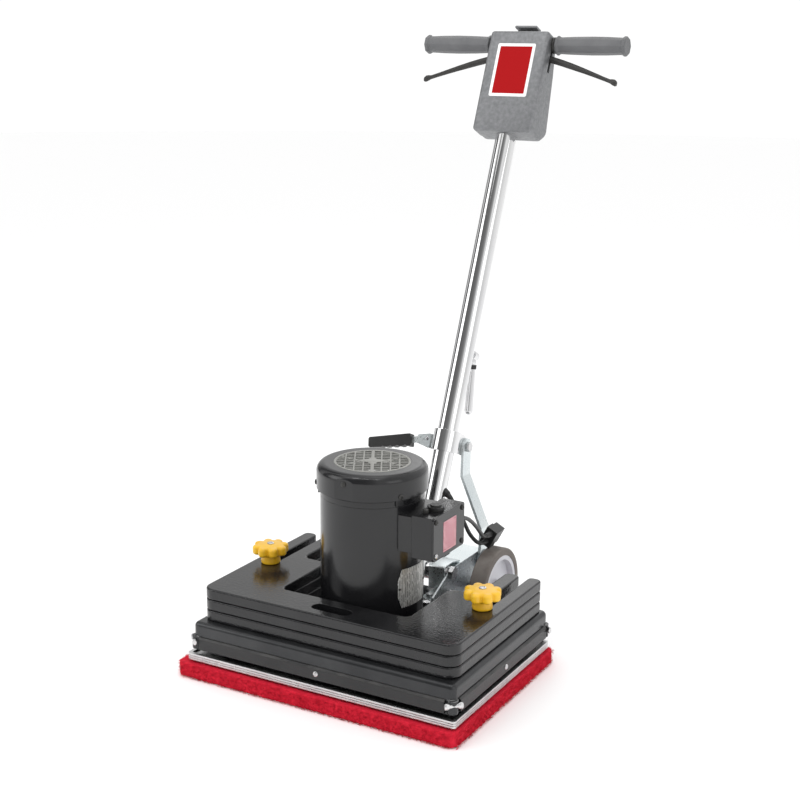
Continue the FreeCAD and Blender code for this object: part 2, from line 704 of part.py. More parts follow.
def axle_caps():
    """Push-on caps that keep the wheels on."""
    caps = []
    for start in (WHEEL_OUT_X + 0.4, -WHEEL_OUT_X - 0.4 - 5.5):
        cap = rod((start, AXLE_Y, AXLE_Z), 13.0, 5.5, X_AXIS)
        caps.append(cap.cut(rod((-124.0, AXLE_Y, AXLE_Z), AXLE_R, 248.0, X_AXIS)))
    return caps


def wheel_tyre():
    """Solid rubber tyre of the right wheel."""
    width = WHEEL_OUT_X - WHEEL_IN_X
    tread = rod((WHEEL_IN_X, AXLE_Y, AXLE_Z), WHEEL_R, width, X_AXIS)
    tread = tread.makeFillet(4.0, [e for e in tread.Edges if e.Length > 200])
    return tread.cut(rod((WHEEL_IN_X - 1, AXLE_Y, AXLE_Z), 62.0, width + 2, X_AXIS))


def wheel_hub():
    """Moulded hub of the right wheel: rim, dished web and boss."""
    width = WHEEL_OUT_X - WHEEL_IN_X
    rim = ring((WHEEL_IN_X + 1, AXLE_Y, AXLE_Z), 62.0, 54.0, width - 2, X_AXIS)
    web = rod((WHEEL_IN_X + 11, AXLE_Y, AXLE_Z), 56.0, 6.0, X_AXIS)
    boss = rod((WHEEL_IN_X, AXLE_Y, AXLE_Z), 16.0, width, X_AXIS)
    hub = rim.fuse(web).fuse(boss)
    return hub.cut(rod((WHEEL_IN_X - 1, AXLE_Y, AXLE_Z), AXLE_R + RUN_FIT, width + 2, X_AXIS))


# --- Handle ---
def handle_tube():
    """Long tube, with the pivot sleeve at its foot and the stud of the cord hook."""
    outside = rod((0, 0, -14.0), TUBE_R, TUBE_TOP + 14)
    inside = rod((0, 0, -20.0), TUBE_R - TUBE_WALL, TUBE_TOP + 40)
    sleeve = rod((-54.0, 0, 0), 12.5, 108.0, X_AXIS)
    hook_stud = rod((0, TUBE_R - 1.5, HOOK_Z), 5.0, 32.0, Y_AXIS)
    stud_head = rod((0, TUBE_R + 30.5, HOOK_Z), 8.0, 3.0, Y_AXIS)
    tube = outside.cut(inside).fuse(sleeve).fuse(hook_stud).fuse(stud_head)
    bore = rod((-60.0, 0, 0), PIVOT_R + RUN_FIT, 120.0, X_AXIS)
    return on_handle(tube.cut(bore))


def tube_grommet():
    """Rubber grommet where the handle lead leaves the tube, pointing down and outwards."""
    droop = math.radians(GROMMET_DROOP)
    out = FreeCAD.Vector(math.cos(droop), 0, -math.sin(droop))
    root = FreeCAD.Vector(TUBE_R, 0, GROMMET_Z) - out * 4.0
    sleeve = rod((root.x, root.y, root.z), 6.5, 10.0, out)
    return on_handle(sleeve.cut(rod((0, 0, GROMMET_Z - 40), TUBE_R, 80.0)))


def control_profile(inset):
    """Side outline of the control box, as (y, z) corners."""
    return [
        (BOX_FRONT_Y + inset, BOX_BOTTOM + inset, 4.0),
        (27.0, BOX_BOTTOM + inset, 5.0),
        (51.0 - inset, 819.0 + inset * 0.5, 5.0),
        (31.0 - inset, 934.0, 8.0),
        (15.0 - inset, BOX_TOP - inset, 5.0),
        (BOX_FRONT_Y + inset, BOX_TOP - inset, 4.0),
    ]


def control_body():
    """Hollow control box before it is split into cover and housing."""
    wall = 3.5
    outer = side_slab(control_profile(0.0), -BOX_HALF_X, BOX_HALF_X)
    inner = side_slab(control_profile(wall), -BOX_HALF_X + wall, BOX_HALF_X - wall)
    body = outer.cut(inner)
    body = body.cut(rod((0, 0, BOX_BOTTOM - 5), TUBE_R, 20.0))
    body = body.cut(rod((-80.0, 0, BAR_Z), 12.7, 160.0, X_AXIS))
    for side in (-1, 1):
        middle = side * (BOX_HALF_X - 2)
        body = body.cut(block(middle - 5, middle + 5, -6.0, SPLIT_Y, 922.0, BAR_Z))
    return body


def control_cover():
    """Front half of the control box."""
    return on_handle(control_body().common(block(-80, 80, -60, SPLIT_Y, 700, 1100)))


def control_housing():
    """Rear half of the control box, with the cord tab on its top."""
    rear = control_body().common(block(-80, 80, SPLIT_Y, 90, 700, 1100))
    tab = block(-22.5, 22.5, SPLIT_Y + 0.5, SPLIT_Y + 6.5, BOX_TOP - 3, BOX_TOP + 18)
    lip = block(-22.5, 22.5, -9.0, SPLIT_Y + 6.5, BOX_TOP + 13, BOX_TOP + 18)
    gusset = side_slab([(TUBE_R + 0.3, BOX_BOTTOM + 1, 0), (TUBE_R + 0.3, BOX_BOTTOM - 16, 0),
                        (TUBE_R + 9, BOX_BOTTOM + 1, 0)], -7.0, 7.0)
    return on_handle(rear.fuse(tab).fuse(lip).fuse(gusset).removeSplitter())


def front_label():
    """Blank label plate on the control box cover."""
    points = [(-37.5, 865.0, 3.0), (37.5, 865.0, 3.0), (37.5, 966.0, 3.0), (-37.5, 966.0, 3.0)]
    return on_handle(front_slab(points, BOX_FRONT_Y - 0.8, BOX_FRONT_Y))


def handlebar():
    """Steel cross tube held between the halves of the control box."""
    bar = ring((-GRIP_END_X + 6, 0, BAR_Z), 12.7, 10.5, 2 * GRIP_END_X - 12, X_AXIS)
    return on_handle(bar)


def hand_grips():
    """The two moulded grips."""
    grips = []
    for side in (-1, 1):
        grips.append(on_handle(eight_sided_sleeve(side, GRIP_INNER_X)))
    return grips


def eight_sided_sleeve(side, inner):
    """One grip: an eight-sided sleeve with a flange at each end and a closed outer end."""
    axis = FreeCAD.Vector(side, 0, 0)
    length = GRIP_END_X - inner
    corners = []
    for i in range(9):
        turn = math.radians(45 * i + 22.5)
        corners.append(FreeCAD.Vector(side * inner, 16.0 * math.cos(turn), BAR_Z + 16.0 * math.sin(turn)))
    sleeve = Part.Face(Part.makePolygon(corners)).extrude(axis * length)
    sleeve = sleeve.fuse(rod((side * inner, 0, BAR_Z), 18.0, 4.0, axis))
    sleeve = sleeve.fuse(rod((side * (GRIP_END_X - 8), 0, BAR_Z), 17.5, 8.0, axis))
    return sleeve.cut(rod((side * (inner - 1), 0, BAR_Z), 12.7, length - 5, axis))


def trigger_lever(side):
    """Trigger lever below one grip, pivoted inside the control box."""
    half = 4.5
    points = [
        (27.0, TRIGGER_PIN_Z - 6, 2.0),
        (27.0, TRIGGER_PIN_Z + 4, 3.0),
        (TRIGGER_PIN_X, TRIGGER_PIN_Z + 7, 6.0),
        (66.0, 953.0, 8.0),
        (92.0, 944.5, 40.0),
        (178.0, 918.0, 4.0),
        (192.0, 916.5, 4.0),
        (195.0, 903.0, 4.0),
        (176.0, 905.5, 6.0),
        (92.0, 932.0, 40.0),
        (66.0, 940.5, 8.0),
        (TRIGGER_PIN_X, TRIGGER_PIN_Z - 8, 6.0),
    ]
    outline = [(side * x, z, r) for x, z, r in points]
    lever = front_slab(outline, -half, half)
    hole = rod((side * TRIGGER_PIN_X, -10.0, TRIGGER_PIN_Z), 3.0 + RUN_FIT, 20.0, Y_AXIS)
    return on_handle(lever.cut(hole))


def trigger_pins():
    pins = []
    for side in (-1, 1):
        pins.append(on_handle(rod((side * TRIGGER_PIN_X, BOX_FRONT_Y + 3.5, TRIGGER_PIN_Z),
                                  3.0, 42.0, Y_AXIS)))
    return pins


def start_switch():
    """Safety switch inside the control box, worked by the inner ends of the triggers."""
    case = block(-24.0, 24.0, -16.0, 20.0, 884.0, 934.0)
    buttons = block(-26.0, 26.0, -3.5, 3.5, 925.0, 941.0).cut(block(-18.0, 18.0, -4.0, 4.0, 934.0, 950.0))
    bracket = block(-20.0, 20.0, BOX_FRONT_Y + 3.5, -15.9, 890.0, 928.0)
    return on_handle(case.fuse(buttons).fuse(bracket))


def cord_hook():
    """Swivelling hook on the rear of the tube, which the supply cord is wound round."""
    eye = ring((0, 34.0, HOOK_Z), 9.0, 5.0 + SLIDE_FIT, 14.0, Y_AXIS)
    top = FreeCAD.Vector(0, 46.0, HOOK_Z - 12)
    tip = FreeCAD.Vector(0, 67.0, 296.0)
    down = tip - top
    prong = Part.makeCone(6.0, 8.2, down.Length, top, down)
    prong = prong.fuse(Part.makeSphere(8.2, tip)).fuse(Part.makeSphere(6.5, top))
    hole = rod((0, 20.0, HOOK_Z), 8.6, 60.0, Y_AXIS)
    return on_handle(eye.fuse(prong.cut(hole)).removeSplitter())


# --- Collar, clamp lever and braces ---
def collar():
    """Clamp collar: a sheet sleeve with two rear ears and the lever bracket."""
    z0 = COLLAR_MID - COLLAR_HALF
    height = 2 * COLLAR_HALF
    sleeve = rod((0, 0, z0), COLLAR_R, height)
    ear = side_slab([(8.0, z0 + 2, 3.0), (EAR_BACK - 6, z0 + 1, 8.0), (EAR_BACK + 14, COLLAR_MID - 8, 9.0),
                     (EAR_BACK + 14, COLLAR_MID + 8, 10.0), (EAR_BACK - 10, z0 + height, 10.0),
                     (8.0, z0 + height, 3.0)], 15.0, 18.5)
    bracket = front_slab([(-18.0, 210.5, 0), (-26.0, 210.5, 2.0), (-50.0, 217.5, 2.0),
                          (-50.0, 232.0, 4.0), (-26.0, 236.0, 3.0), (-18.0, 236.0, 0)], -12.0, -9.0)
    body = sleeve.fuse(ear).fuse(mirrored(ear)).fuse(bracket)
    body = body.cut(rod((0, 0, z0 - 1), TUBE_R + SLIDE_FIT, height + 2))
    body = body.cut(rod((-30.0, EAR_BACK, COLLAR_MID), 5.0, 60.0, X_AXIS))
    body = body.cut(rod((LEVER_PIN_X, -20.0, LEVER_PIN_Z), 3.0, 20.0, Y_AXIS))
    return on_handle(body.removeSplitter())


LEVER_PIN_X = -31.0
LEVER_PIN_Z = 227.0
LEVER_TILT = 11.5


def collar_bolts():
    """Bolt through the ears and braces, and the pin of the clamp lever."""
    reach = 18.5 + 0.3 + BRACE_SHEET + 0.3
    bolt = rod((-reach, EAR_BACK, COLLAR_MID), 5.0, 2 * reach + 6, X_AXIS)
    nut = hexagon((reach, EAR_BACK, COLLAR_MID), 9.0, 6.0, X_AXIS)
    head = hexagon((-reach - 6, EAR_BACK, COLLAR_MID), 9.0, 6.0, X_AXIS)
    pin = rod((LEVER_PIN_X, -12.0, LEVER_PIN_Z), 3.0, 7.5, Y_AXIS)
    pin = pin.fuse(rod((LEVER_PIN_X, -4.5, LEVER_PIN_Z), 5.0, 1.5, Y_AXIS))
    return [on_handle(bolt.fuse(nut).fuse(head)), on_handle(pin)]


def along_lever(shape):
    """Turn a shape drawn level, pointing to -X from the pin, down to the lever's rest angle."""
    shape.rotate(FreeCAD.Vector(LEVER_PIN_X, 0, LEVER_PIN_Z), Y_AXIS, -LEVER_TILT)
    return on_handle(shape)


def clamp_lever():
    """Flat steel cam lever that locks the collar."""
    x = LEVER_PIN_X
    z = LEVER_PIN_Z
    points = [(x + 5.5, z - 6, 5.0), (x + 5.5, z + 6, 5.0), (x - 110, z + 5, 3.0), (x - 110, z - 5, 3.0)]
    blade = front_slab(points, -8.7, -5.7)
    return along_lever(blade.cut(rod((x, -20.0, z), 3.0 + RUN_FIT, 30.0, Y_AXIS)))


def lever_grip():
    """Moulded sleeve on the lever, with finger grooves along its lower edge."""
    x = LEVER_PIN_X - 33
    z = LEVER_PIN_Z
    points = [(x, z - 12, 2.0), (x, z + 11, 2.0), (x - 86, z + 9, 4.0), (x - 86, z - 10, 4.0)]
    sleeve = front_slab(points, -15.0, 1.0)
    for step in range(4):
        sleeve = sleeve.cut(rod((x - 12 - 15 * step, -20.0, z - 16.5), 7.0, 30.0, Y_AXIS))
    inside = front_slab([(x + 1, z - 6, 0), (x + 1, z + 6, 0), (LEVER_PIN_X - 110, z + 5, 0),
                         (LEVER_PIN_X - 110, z - 5, 0)], -8.7, -5.7)
    return along_lever(sleeve.cut(inside))


def brace_bars():
    """Two flat bars, joggled outwards from the collar ears to the yoke cheeks."""
    ear = handle_point(0, EAR_BACK, COLLAR_MID)
    lean = math.degrees(math.atan2(ear[1] - BRACE_FOOT_Y, ear[2] - BRACE_FOOT_Z))
    span = math.hypot(ear[1] - BRACE_FOOT_Y, ear[2] - BRACE_FOOT_Z)
    top_x = 18.5 + 0.3
    foot_x = YOKE_HALF_X + 0.8
    t = BRACE_SHEET
    half = BRACE_WIDTH / 2
    low = 58.0
    high = 150.0
    bend = 1.2
    profile = [
        (foot_x, -20.0, 0), (foot_x, low, 6.0), (top_x, high, 6.0), (top_x, span + half, 0),
        (top_x + t, span + half, 0), (top_x + t, high + bend, 6.0), (foot_x + t, low + bend, 6.0),
        (foot_x + t, -20.0, 0),
    ]
    bar = front_slab(profile, -20.0, 20.0)
    face_outline = [
        (-20.0, 0.0, 0), (-20.0, -20.0, 19.9), (20.0, -20.0, 19.9), (20.0, 0.0, 0),
        (half, 24.0, 20.0), (half, span + half, half - 0.1), (-half, span + half, half - 0.1),
        (-half, 24.0, 20.0),
    ]
    bar = bar.common(side_slab(face_outline, 0.0, 90.0))
    bar = bar.cut(rod((0, 0, span), 5.0 + RUN_FIT, 90.0, X_AXIS))
    bar = bar.cut(rod((0, 0, 0), 12.0, 90.0, X_AXIS))
    bars = []
    for shape in (bar, mirrored(bar)):
        shape.rotate(ORIGIN, X_AXIS, -lean)
        shape.translate(FreeCAD.Vector(0, BRACE_FOOT_Y, BRACE_FOOT_Z))
        bars.append(shape)
    return bars


# --- Leads and their connector ---
CONNECTOR_MID = (97.2, 258.0, 177.0)
CONNECTOR_HALF_Y = 18.0
CONNECTOR_TURN = 28.0
LEAD_R = 3.5
# Route of the handle lead: out of the grommet, down beside the tube with slack for its tilt,
# and rearwards into the lower port of the connector.
HANDLE_LEAD = [(24.04, 222.12, 250.0), (36.2, 218.8, 242.1), (48.5, 213.5, 230.5), (59.0, 209.0, 218.5),
               (69.0, 205.5, 206.0), (77.5, 203.5, 192.5), (85.5, 207.5, 181.0), (90.3, 216.0, 172.5),
               (93.2, 228.0, 169.5), (93.2, 240.0, 169.5)]
# Route of the motor lead: out of the gland, back and down, into the upper port.
MOTOR_LEAD = [(118.0, 69.0, 262.0), (118.0, 91.0, 262.0), (116.5, 116.0, 253.5), (113.5, 142.0, 238.5),
              (110.0, 167.0, 221.0), (106.0, 191.5, 202.0), (101.2, 215.5, 184.5), (101.2, 240.0, 184.5)]


def lead_connector():
    """Two-part plug connector that joins the handle lead to the motor lead."""
    body = block(-11.0, 11.0, -CONNECTOR_HALF_Y, 2.0, -17.5, 17.5)
    cap = block(-9.5, 9.5, 2.0, CONNECTOR_HALF_Y, -15.5, 15.5)
    connector = body.fuse(cap)
    connector.rotate(ORIGIN, Y_AXIS, CONNECTOR_TURN)
    connector.translate(FreeCAD.Vector(*CONNECTOR_MID))
    return connector


def build():
    os.makedirs("parts", exist_ok=True)
    save("floor_pad", floor_pad())
    save("pad_gripper", pad_gripper())
    save("driver_plate", driver_plate())
    save("driver_rim", driver_rim())
    save("bearing_housing", bearing_housing())
    save("orbit_bearing", orbit_bearing())
    save("eccentric_hub", eccentric_hub())
    save("base_shroud", base_shroud())
    save("bumper_strips", *bumper_strips())
    save("bumper_rivets", *bumper_rivets())
    save("isolators", *isolators())
    save("weight_studs", *weight_studs())
    save("deck_screws", *deck_screws())
    for index in range(WEIGHT_COUNT):
        save("weight_plate_" + str(index + 1), weight_plate(index))
    save("star_knob_left", star_knob(-1))
    save("star_knob_right", star_knob(1))
    save("motor_shell", motor_shell())
    save("end_bells", drive_end_bell(), fan_end_bell())
    save("motor_bearings", *motor_bearings())
    save("stator", stator())
    save("rotor", rotor())
    save("motor_shaft", motor_shaft())
    save("cooling_fan", cooling_fan())
    save("fan_cover", fan_cover())
    save("fan_grille", fan_grille())
    save("case_screws", *case_screws())
    save("motor_nameplate", motor_nameplate())
    save("conduit_box", conduit_box())
    save("conduit_cover", conduit_cover())
    save("conduit_glands", *conduit_glands())
    save("handle_yoke", handle_yoke())
    save("yoke_bolts", *yoke_bolts())
    save("wheel_axle", wheel_axle())
    save("axle_caps", *axle_caps())
    save("tyre_right", wheel_tyre())
    save("tyre_left", mirrored(wheel_tyre()))
    save("wheel_hub_right", wheel_hub())
    save("wheel_hub_left", mirrored(wheel_hub()))
    save("handle_tube", handle_tube())
    save("tube_grommet", tube_grommet())
    save("control_cover", control_cover())
    save("control_housing", control_housing())
    save("front_label", front_label())
    save("handlebar", handlebar())
    save("hand_grips", *hand_grips())
    save("trigger_left", trigger_lever(-1))
    save("trigger_right", trigger_lever(1))
    save("trigger_pins", *trigger_pins())
    save("start_switch", start_switch())
    save("cord_hook", cord_hook())
    save("collar", collar())
    save("collar_bolts", *collar_bolts())
    save("clamp_lever", clamp_lever())
    save("lever_grip", lever_grip())
    save("brace_bars", *brace_bars())
    save("lead_connector", lead_connector())
    save("handle_lead", cable("handle_lead", HANDLE_LEAD, LEAD_R))
    save("motor_lead", cable("motor_lead", MOTOR_LEAD, LEAD_R))


build()
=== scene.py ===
# %% [markdown]
# # Rectangular orbital floor machine
# The frame comes in first: every CAD piece, already in its place. Everything made here is fitted
# to it in metres, so the places are read from the pieces and the joints, never guessed twice.

# %% Load the frame and keep its box
import json
import math
import random
import bpy
from mathutils import Matrix, Vector


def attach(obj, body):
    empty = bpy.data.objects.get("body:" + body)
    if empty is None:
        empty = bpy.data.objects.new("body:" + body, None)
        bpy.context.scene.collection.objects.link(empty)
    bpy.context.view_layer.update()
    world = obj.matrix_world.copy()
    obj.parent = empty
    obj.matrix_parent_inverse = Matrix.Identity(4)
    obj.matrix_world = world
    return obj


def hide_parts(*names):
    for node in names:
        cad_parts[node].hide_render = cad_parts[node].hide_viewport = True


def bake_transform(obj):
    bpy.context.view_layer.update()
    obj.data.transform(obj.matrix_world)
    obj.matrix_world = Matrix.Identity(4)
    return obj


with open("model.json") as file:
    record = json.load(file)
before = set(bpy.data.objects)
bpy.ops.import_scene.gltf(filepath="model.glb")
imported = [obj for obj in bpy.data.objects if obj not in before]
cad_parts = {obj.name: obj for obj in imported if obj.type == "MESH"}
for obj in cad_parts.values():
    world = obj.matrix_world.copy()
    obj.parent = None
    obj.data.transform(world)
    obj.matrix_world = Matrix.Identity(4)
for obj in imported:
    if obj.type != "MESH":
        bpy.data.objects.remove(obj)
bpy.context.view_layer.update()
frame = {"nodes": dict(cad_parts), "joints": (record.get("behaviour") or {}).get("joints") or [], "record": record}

nodes = frame["nodes"]
joints = {joint["name"]: joint for joint in frame["joints"]}
MM = 0.001

# %% [markdown]
# The handle leans back, so its pieces are easiest to model upright, with Z along the tube and Y to
# the rear, and then to tip over in one move. The joints give that move: the tilt joint is the
# handle's foot, and the collar slides along the tube.

# %% Places to build in
tube_axis = Vector(joints["collar_slide"]["axis"])
foot = Vector(joints["handle_tilt"]["pos_m"])
rear = tube_axis.cross(Vector((1, 0, 0)))
ON_HANDLE = Matrix.Translation(foot) @ Matrix((Vector((1, 0, 0)), rear, tube_axis)).transposed().to_4x4()
TO_RIGHT = Matrix.Rotation(math.radians(90), 4, "Y")
TO_LEFT = Matrix.Rotation(math.radians(-90), 4, "Y")
TO_FRONT = Matrix.Rotation(math.radians(90), 4, "X")
TO_REAR = Matrix.Rotation(math.radians(-90), 4, "X")


def at(x, y, z):
    """A move to a place given in millimetres."""
    return Matrix.Translation((x * MM, y * MM, z * MM))


def plan_turn(degrees):
    """A turn about the vertical."""
    return Matrix.Rotation(math.radians(degrees), 4, "Z")


print("tube leans", round(math.degrees(math.atan2(tube_axis.y, tube_axis.z)), 1), "degrees")

# %% [markdown]
# ## Camera, light and floor
# The eye stands to the right of the front and a little above the grips, about 2.5 m away, with a
# long lens. The picture is plain: a pale floor, a pale surround and large soft lamps, with three
# small ones overhead for round edges. Chrome shows only what is around it, so the surround has soft
# dark bands that the lamps alone would not give.

# %% Camera
AZIMUTH = math.radians(29.41)
PITCH = math.radians(14.28)
ROLL = math.radians(0.41)
EYE = (1.14313, -1.93778, 1.04166)
bpy.ops.object.camera_add(location=EYE)
camera = bpy.context.object
camera.name = "studio_camera"
turn = Matrix.Rotation(AZIMUTH, 4, "Z") @ Matrix.Rotation(math.pi / 2 - PITCH, 4, "X")
turn = turn @ Matrix.Rotation(ROLL, 4, "Z")
camera.matrix_world = Matrix.Translation(EYE) @ turn
camera.data.lens = 64.55
camera.data.sensor_width = 36
camera.data.clip_end = 100
bpy.context.scene.camera = camera
print("camera lens", camera.data.lens)


# %% Lamps
MIDDLE = (0, 0.1, 0.35)


def soft_lamp(name, place, size, power):
    """A square lamp that looks at the middle of the machine."""
    bpy.ops.object.light_add(type="AREA", location=place)
    lamp = bpy.context.object
    lamp.name = name
    lamp.rotation_euler = (Vector(MIDDLE) - Vector(place)).to_track_quat("-Z", "Y").to_euler()
    lamp.data.size = size
    lamp.data.energy = power


soft_lamp("overhead_lamp", (-0.4, -0.2, 2.6), 2.2, 12)
soft_lamp("left_lamp", (-2.4, -1.5, 1.7), 1.5, 11)
soft_lamp("right_lamp", (2.5, -0.6, 1.3), 1.3, 5)
soft_lamp("rear_lamp", (-0.6, 2.6, 1.9), 1.6, 5)
for lamp_x in (-0.5, 0.05, 0.7):
    soft_lamp("sparkle_lamp", (lamp_x, -0.75, 2.5), 0.22, 1.4)


# %% Node helpers
def fill(tree, made, inputs):
    """Fills a node's inputs: a socket is linked, and anything else is set as the value."""
    for label, value in inputs.items():
        if isinstance(value, bpy.types.NodeSocket):
            tree.links.new(value, made.inputs[label])
        else:
            made.inputs[label].default_value = value
    return made


def node(tree, kind, inputs=None, **settings):
    """Adds a node, sets its options and fills its inputs."""
    made = tree.nodes.new("ShaderNode" + kind)
    for key, value in settings.items():
        setattr(made, key, value)
    return fill(tree, made, inputs or {})


def maths(tree, operation, *values):
    """The result of one Math node on values or sockets."""
    return node(tree, "Math", dict(enumerate(values)), operation=operation).outputs[0]


def spread(tree, source, low, high, new_low=0.0, new_high=1.0):
    """Stretches a value from one range to another, held within it."""
    stretch = node(tree, "MapRange", {"Value": source, "From Min": low, "From Max": high,
                                      "To Min": new_low, "To Max": new_high})
    return stretch.outputs["Result"]


def blend_colour(tree, mask, under, over):
    """Mixes a colour over what is under it, by a mask."""
    base = (*under, 1) if isinstance(under, tuple) else under
    return node(tree, "Mix", {"Factor": mask, "A": base, "B": (*over, 1)}, data_type="RGBA").outputs["Result"]


print("node helpers are ready")


# %% Surround and floor
BANDS = ((0.0, 0.15), (0.05, 0.12), (0.085, 1.0), (0.12, 1.0), (0.16, 0.13), (0.27, 0.18), (0.33, 0.35),
         (0.37, 0.85), (0.5, 0.75), (0.6, 0.9), (0.7, 0.95), (0.82, 0.95), (0.88, 0.7), (0.94, 0.15))


def build_surround():
    """A pale surround for the eye, with soft dark bands for what is mirrored in chrome."""
    world = bpy.data.worlds.new("studio")
    bpy.context.scene.world = world
    world.use_nodes = True
    tree = world.node_tree
    coords = node(tree, "TexCoord")
    bearing = node(tree, "TexGradient", {"Vector": coords.outputs["Generated"]}, gradient_type="RADIAL")
    ramp = node(tree, "ValToRGB", {"Fac": bearing.outputs["Fac"]})
    ramp.color_ramp.interpolation = "EASE"
    for spot, grey in BANDS:
        stop = ramp.color_ramp.elements.new(spot)
        stop.color = (grey, grey, grey, 1)
    ramp.color_ramp.elements.remove(ramp.color_ramp.elements[0])
    path = node(tree, "LightPath")
    even = maths(tree, "MAXIMUM", path.outputs["Is Camera Ray"], path.outputs["Is Diffuse Ray"])
    sky = blend_colour(tree, even, ramp.outputs["Color"], (1, 1, 1))
    fill(tree, tree.nodes["Background"], {"Color": sky, "Strength": 1.04})


def build_floor():
    """A round pale floor, far larger than the machine."""
    bpy.ops.mesh.primitive_circle_add(vertices=96, radius=14, fill_type="NGON", location=(0, 0, 0))
    floor = bpy.context.object
    floor.name = "studio_floor"
    paint = bpy.data.materials.new("pale floor")
    paint.use_nodes = True
    fill(paint.node_tree, paint.node_tree.nodes["Principled BSDF"],
         {"Base Color": (0.97, 0.97, 0.97, 1), "Roughness": 1.0, "Specular IOR Level": 0.0})
    floor.data.materials.append(paint)


build_surround()
build_floor()
bpy.context.scene.view_settings.view_transform = "Standard"
print("surround and floor are in place")

# %% [markdown]
# ## Shared effects
# A paint shop treats many pieces the same way, so each effect that several finishes share is a node
# group: a skin of grain, the pebbled skin of hammered paint, dust that settles on what faces up,
# edges that are rubbed lighter (on the deck also a painted highlight), and fine lines left by rolling
# or polishing. A group gives out only a mask, a height or a normal, and each finish decides what to do with it.

# %% Grain, hammered skin and fine lines
FLOAT = "NodeSocketFloat"


def new_group(name, label, value, outputs):
    """A shader node group with a Vector input, one float input and its outputs; gives its sockets."""
    group = bpy.data.node_groups.new(name, "ShaderNodeTree")
    group.interface.new_socket("Vector", in_out="INPUT", socket_type="NodeSocketVector")
    group.interface.new_socket(label, in_out="INPUT", socket_type=FLOAT).default_value = value
    for result, kind in outputs.items():
        group.interface.new_socket(result, in_out="OUTPUT", socket_type=kind)
    source = group.nodes.new("NodeGroupInput")
    return group, source.outputs["Vector"], source.outputs[label], group.nodes.new("NodeGroupOutput")


def make_grain():
    """Fine uneven grain: Tone is slow patches, Height is the skin."""
    group, vector, scale, sink = new_group("grain", "Scale", 300.0, {"Tone": FLOAT, "Height": FLOAT})
    fine = node(group, "TexNoise", {"Vector": vector, "Scale": scale, "Detail": 6})
    slower = maths(group, "MULTIPLY", scale, 0.06)
    slow = node(group, "TexNoise", {"Vector": vector, "Scale": slower, "Detail": 3})
    fill(group, sink, {"Tone": spread(group, slow.outputs["Fac"], 0.3, 0.7), "Height": fine.outputs["Fac"]})
    return group


def make_hammered():
    """Hammered paint: round pebbles of uneven size that run into each other."""
    group, vector, scale, sink = new_group("hammered skin", "Scale", 260.0, {"Height": FLOAT})
    pebbles = node(group, "TexVoronoi", feature="SMOOTH_F1")
    fill(group, pebbles, {"Vector": vector, "Scale": scale, "Smoothness": 1.0})
    ripple = node(group, "TexNoise", {"Vector": vector, "Scale": scale, "Detail": 2})
    fill(group, sink, {"Height": maths(group, "ADD", pebbles.outputs["Distance"], ripple.outputs["Fac"])})
    return group


def make_lines():
    """Fine lines drawn out along the pattern's Z."""
    group, vector, scale, sink = new_group("fine lines", "Scale", 900.0, {"Mask": FLOAT})
    drawn = node(group, "Mapping", {"Vector": vector, "Scale": (1, 1, 0.02)})
    lines = node(group, "TexNoise", {"Vector": drawn.outputs["Vector"], "Scale": scale, "Detail": 4})
    fill(group, sink, {"Mask": spread(group, lines.outputs["Fac"], 0.35, 0.65)})
    return group


GRAIN = make_grain()
HAMMERED = make_hammered()
LINES = make_lines()
print("groups:", GRAIN.name, HAMMERED.name, LINES.name)


# %% Dust and rubbed edges
def make_dust():
    """Dust: patchy, and only on what faces up."""
    group, vector, amount, sink = new_group("settled dust", "Amount", 0.3, {"Mask": FLOAT})
    facing = node(group, "SeparateXYZ", {"Vector": node(group, "NewGeometry").outputs["Normal"]})
    patches = node(group, "TexNoise", {"Vector": vector, "Scale": 34, "Detail": 8})
    lying = maths(group, "MULTIPLY", spread(group, facing.outputs["Z"], 0.2, 0.95),
                  spread(group, patches.outputs["Fac"], 0.35, 0.75))
    fill(group, sink, {"Mask": maths(group, "MULTIPLY", lying, amount)})
    return group


def make_edges():
    """Sharp edges: a rounded normal to shade them with, and a mask of where they are rubbed, which on the deck
    also places a painted highlight.
    """
    group, vector, radius, sink = new_group("edge wear and sheen", "Radius", 0.0012,
                                            {"Mask": FLOAT, "Normal": "NodeSocketVector"})
    rounded = node(group, "Bevel", {"Radius": radius}, samples=6).outputs["Normal"]
    true = node(group, "NewGeometry").outputs["Normal"]
    likeness = node(group, "VectorMath", {0: rounded, 1: true}, operation="DOT_PRODUCT")
    chips = node(group, "TexNoise", {"Vector": vector, "Scale": 120, "Detail": 6})
    worn_and_sheen_edges = maths(group, "MULTIPLY", spread(group, likeness.outputs["Value"], 0.98, 0.85),
                   spread(group, chips.outputs["Fac"], 0.4, 0.65))
    fill(group, sink, {"Mask": worn_and_sheen_edges, "Normal": rounded})
    return group


DUST = make_dust()
EDGES = make_edges()
print("groups:", DUST.name, EDGES.name)

# %% [markdown]
# ## Finishes
# Each finish is its own material with its own shader. One builder wires the shared effects, so that
# a finish is said in its own terms: its colour, how far the colour wanders, how rough it is, the
# skin it has, how much dust and edge wear it has picked up, and on the deck a painted edge highlight.


# %% The finish builder
DUST_COLOUR = (0.42, 0.40, 0.37)


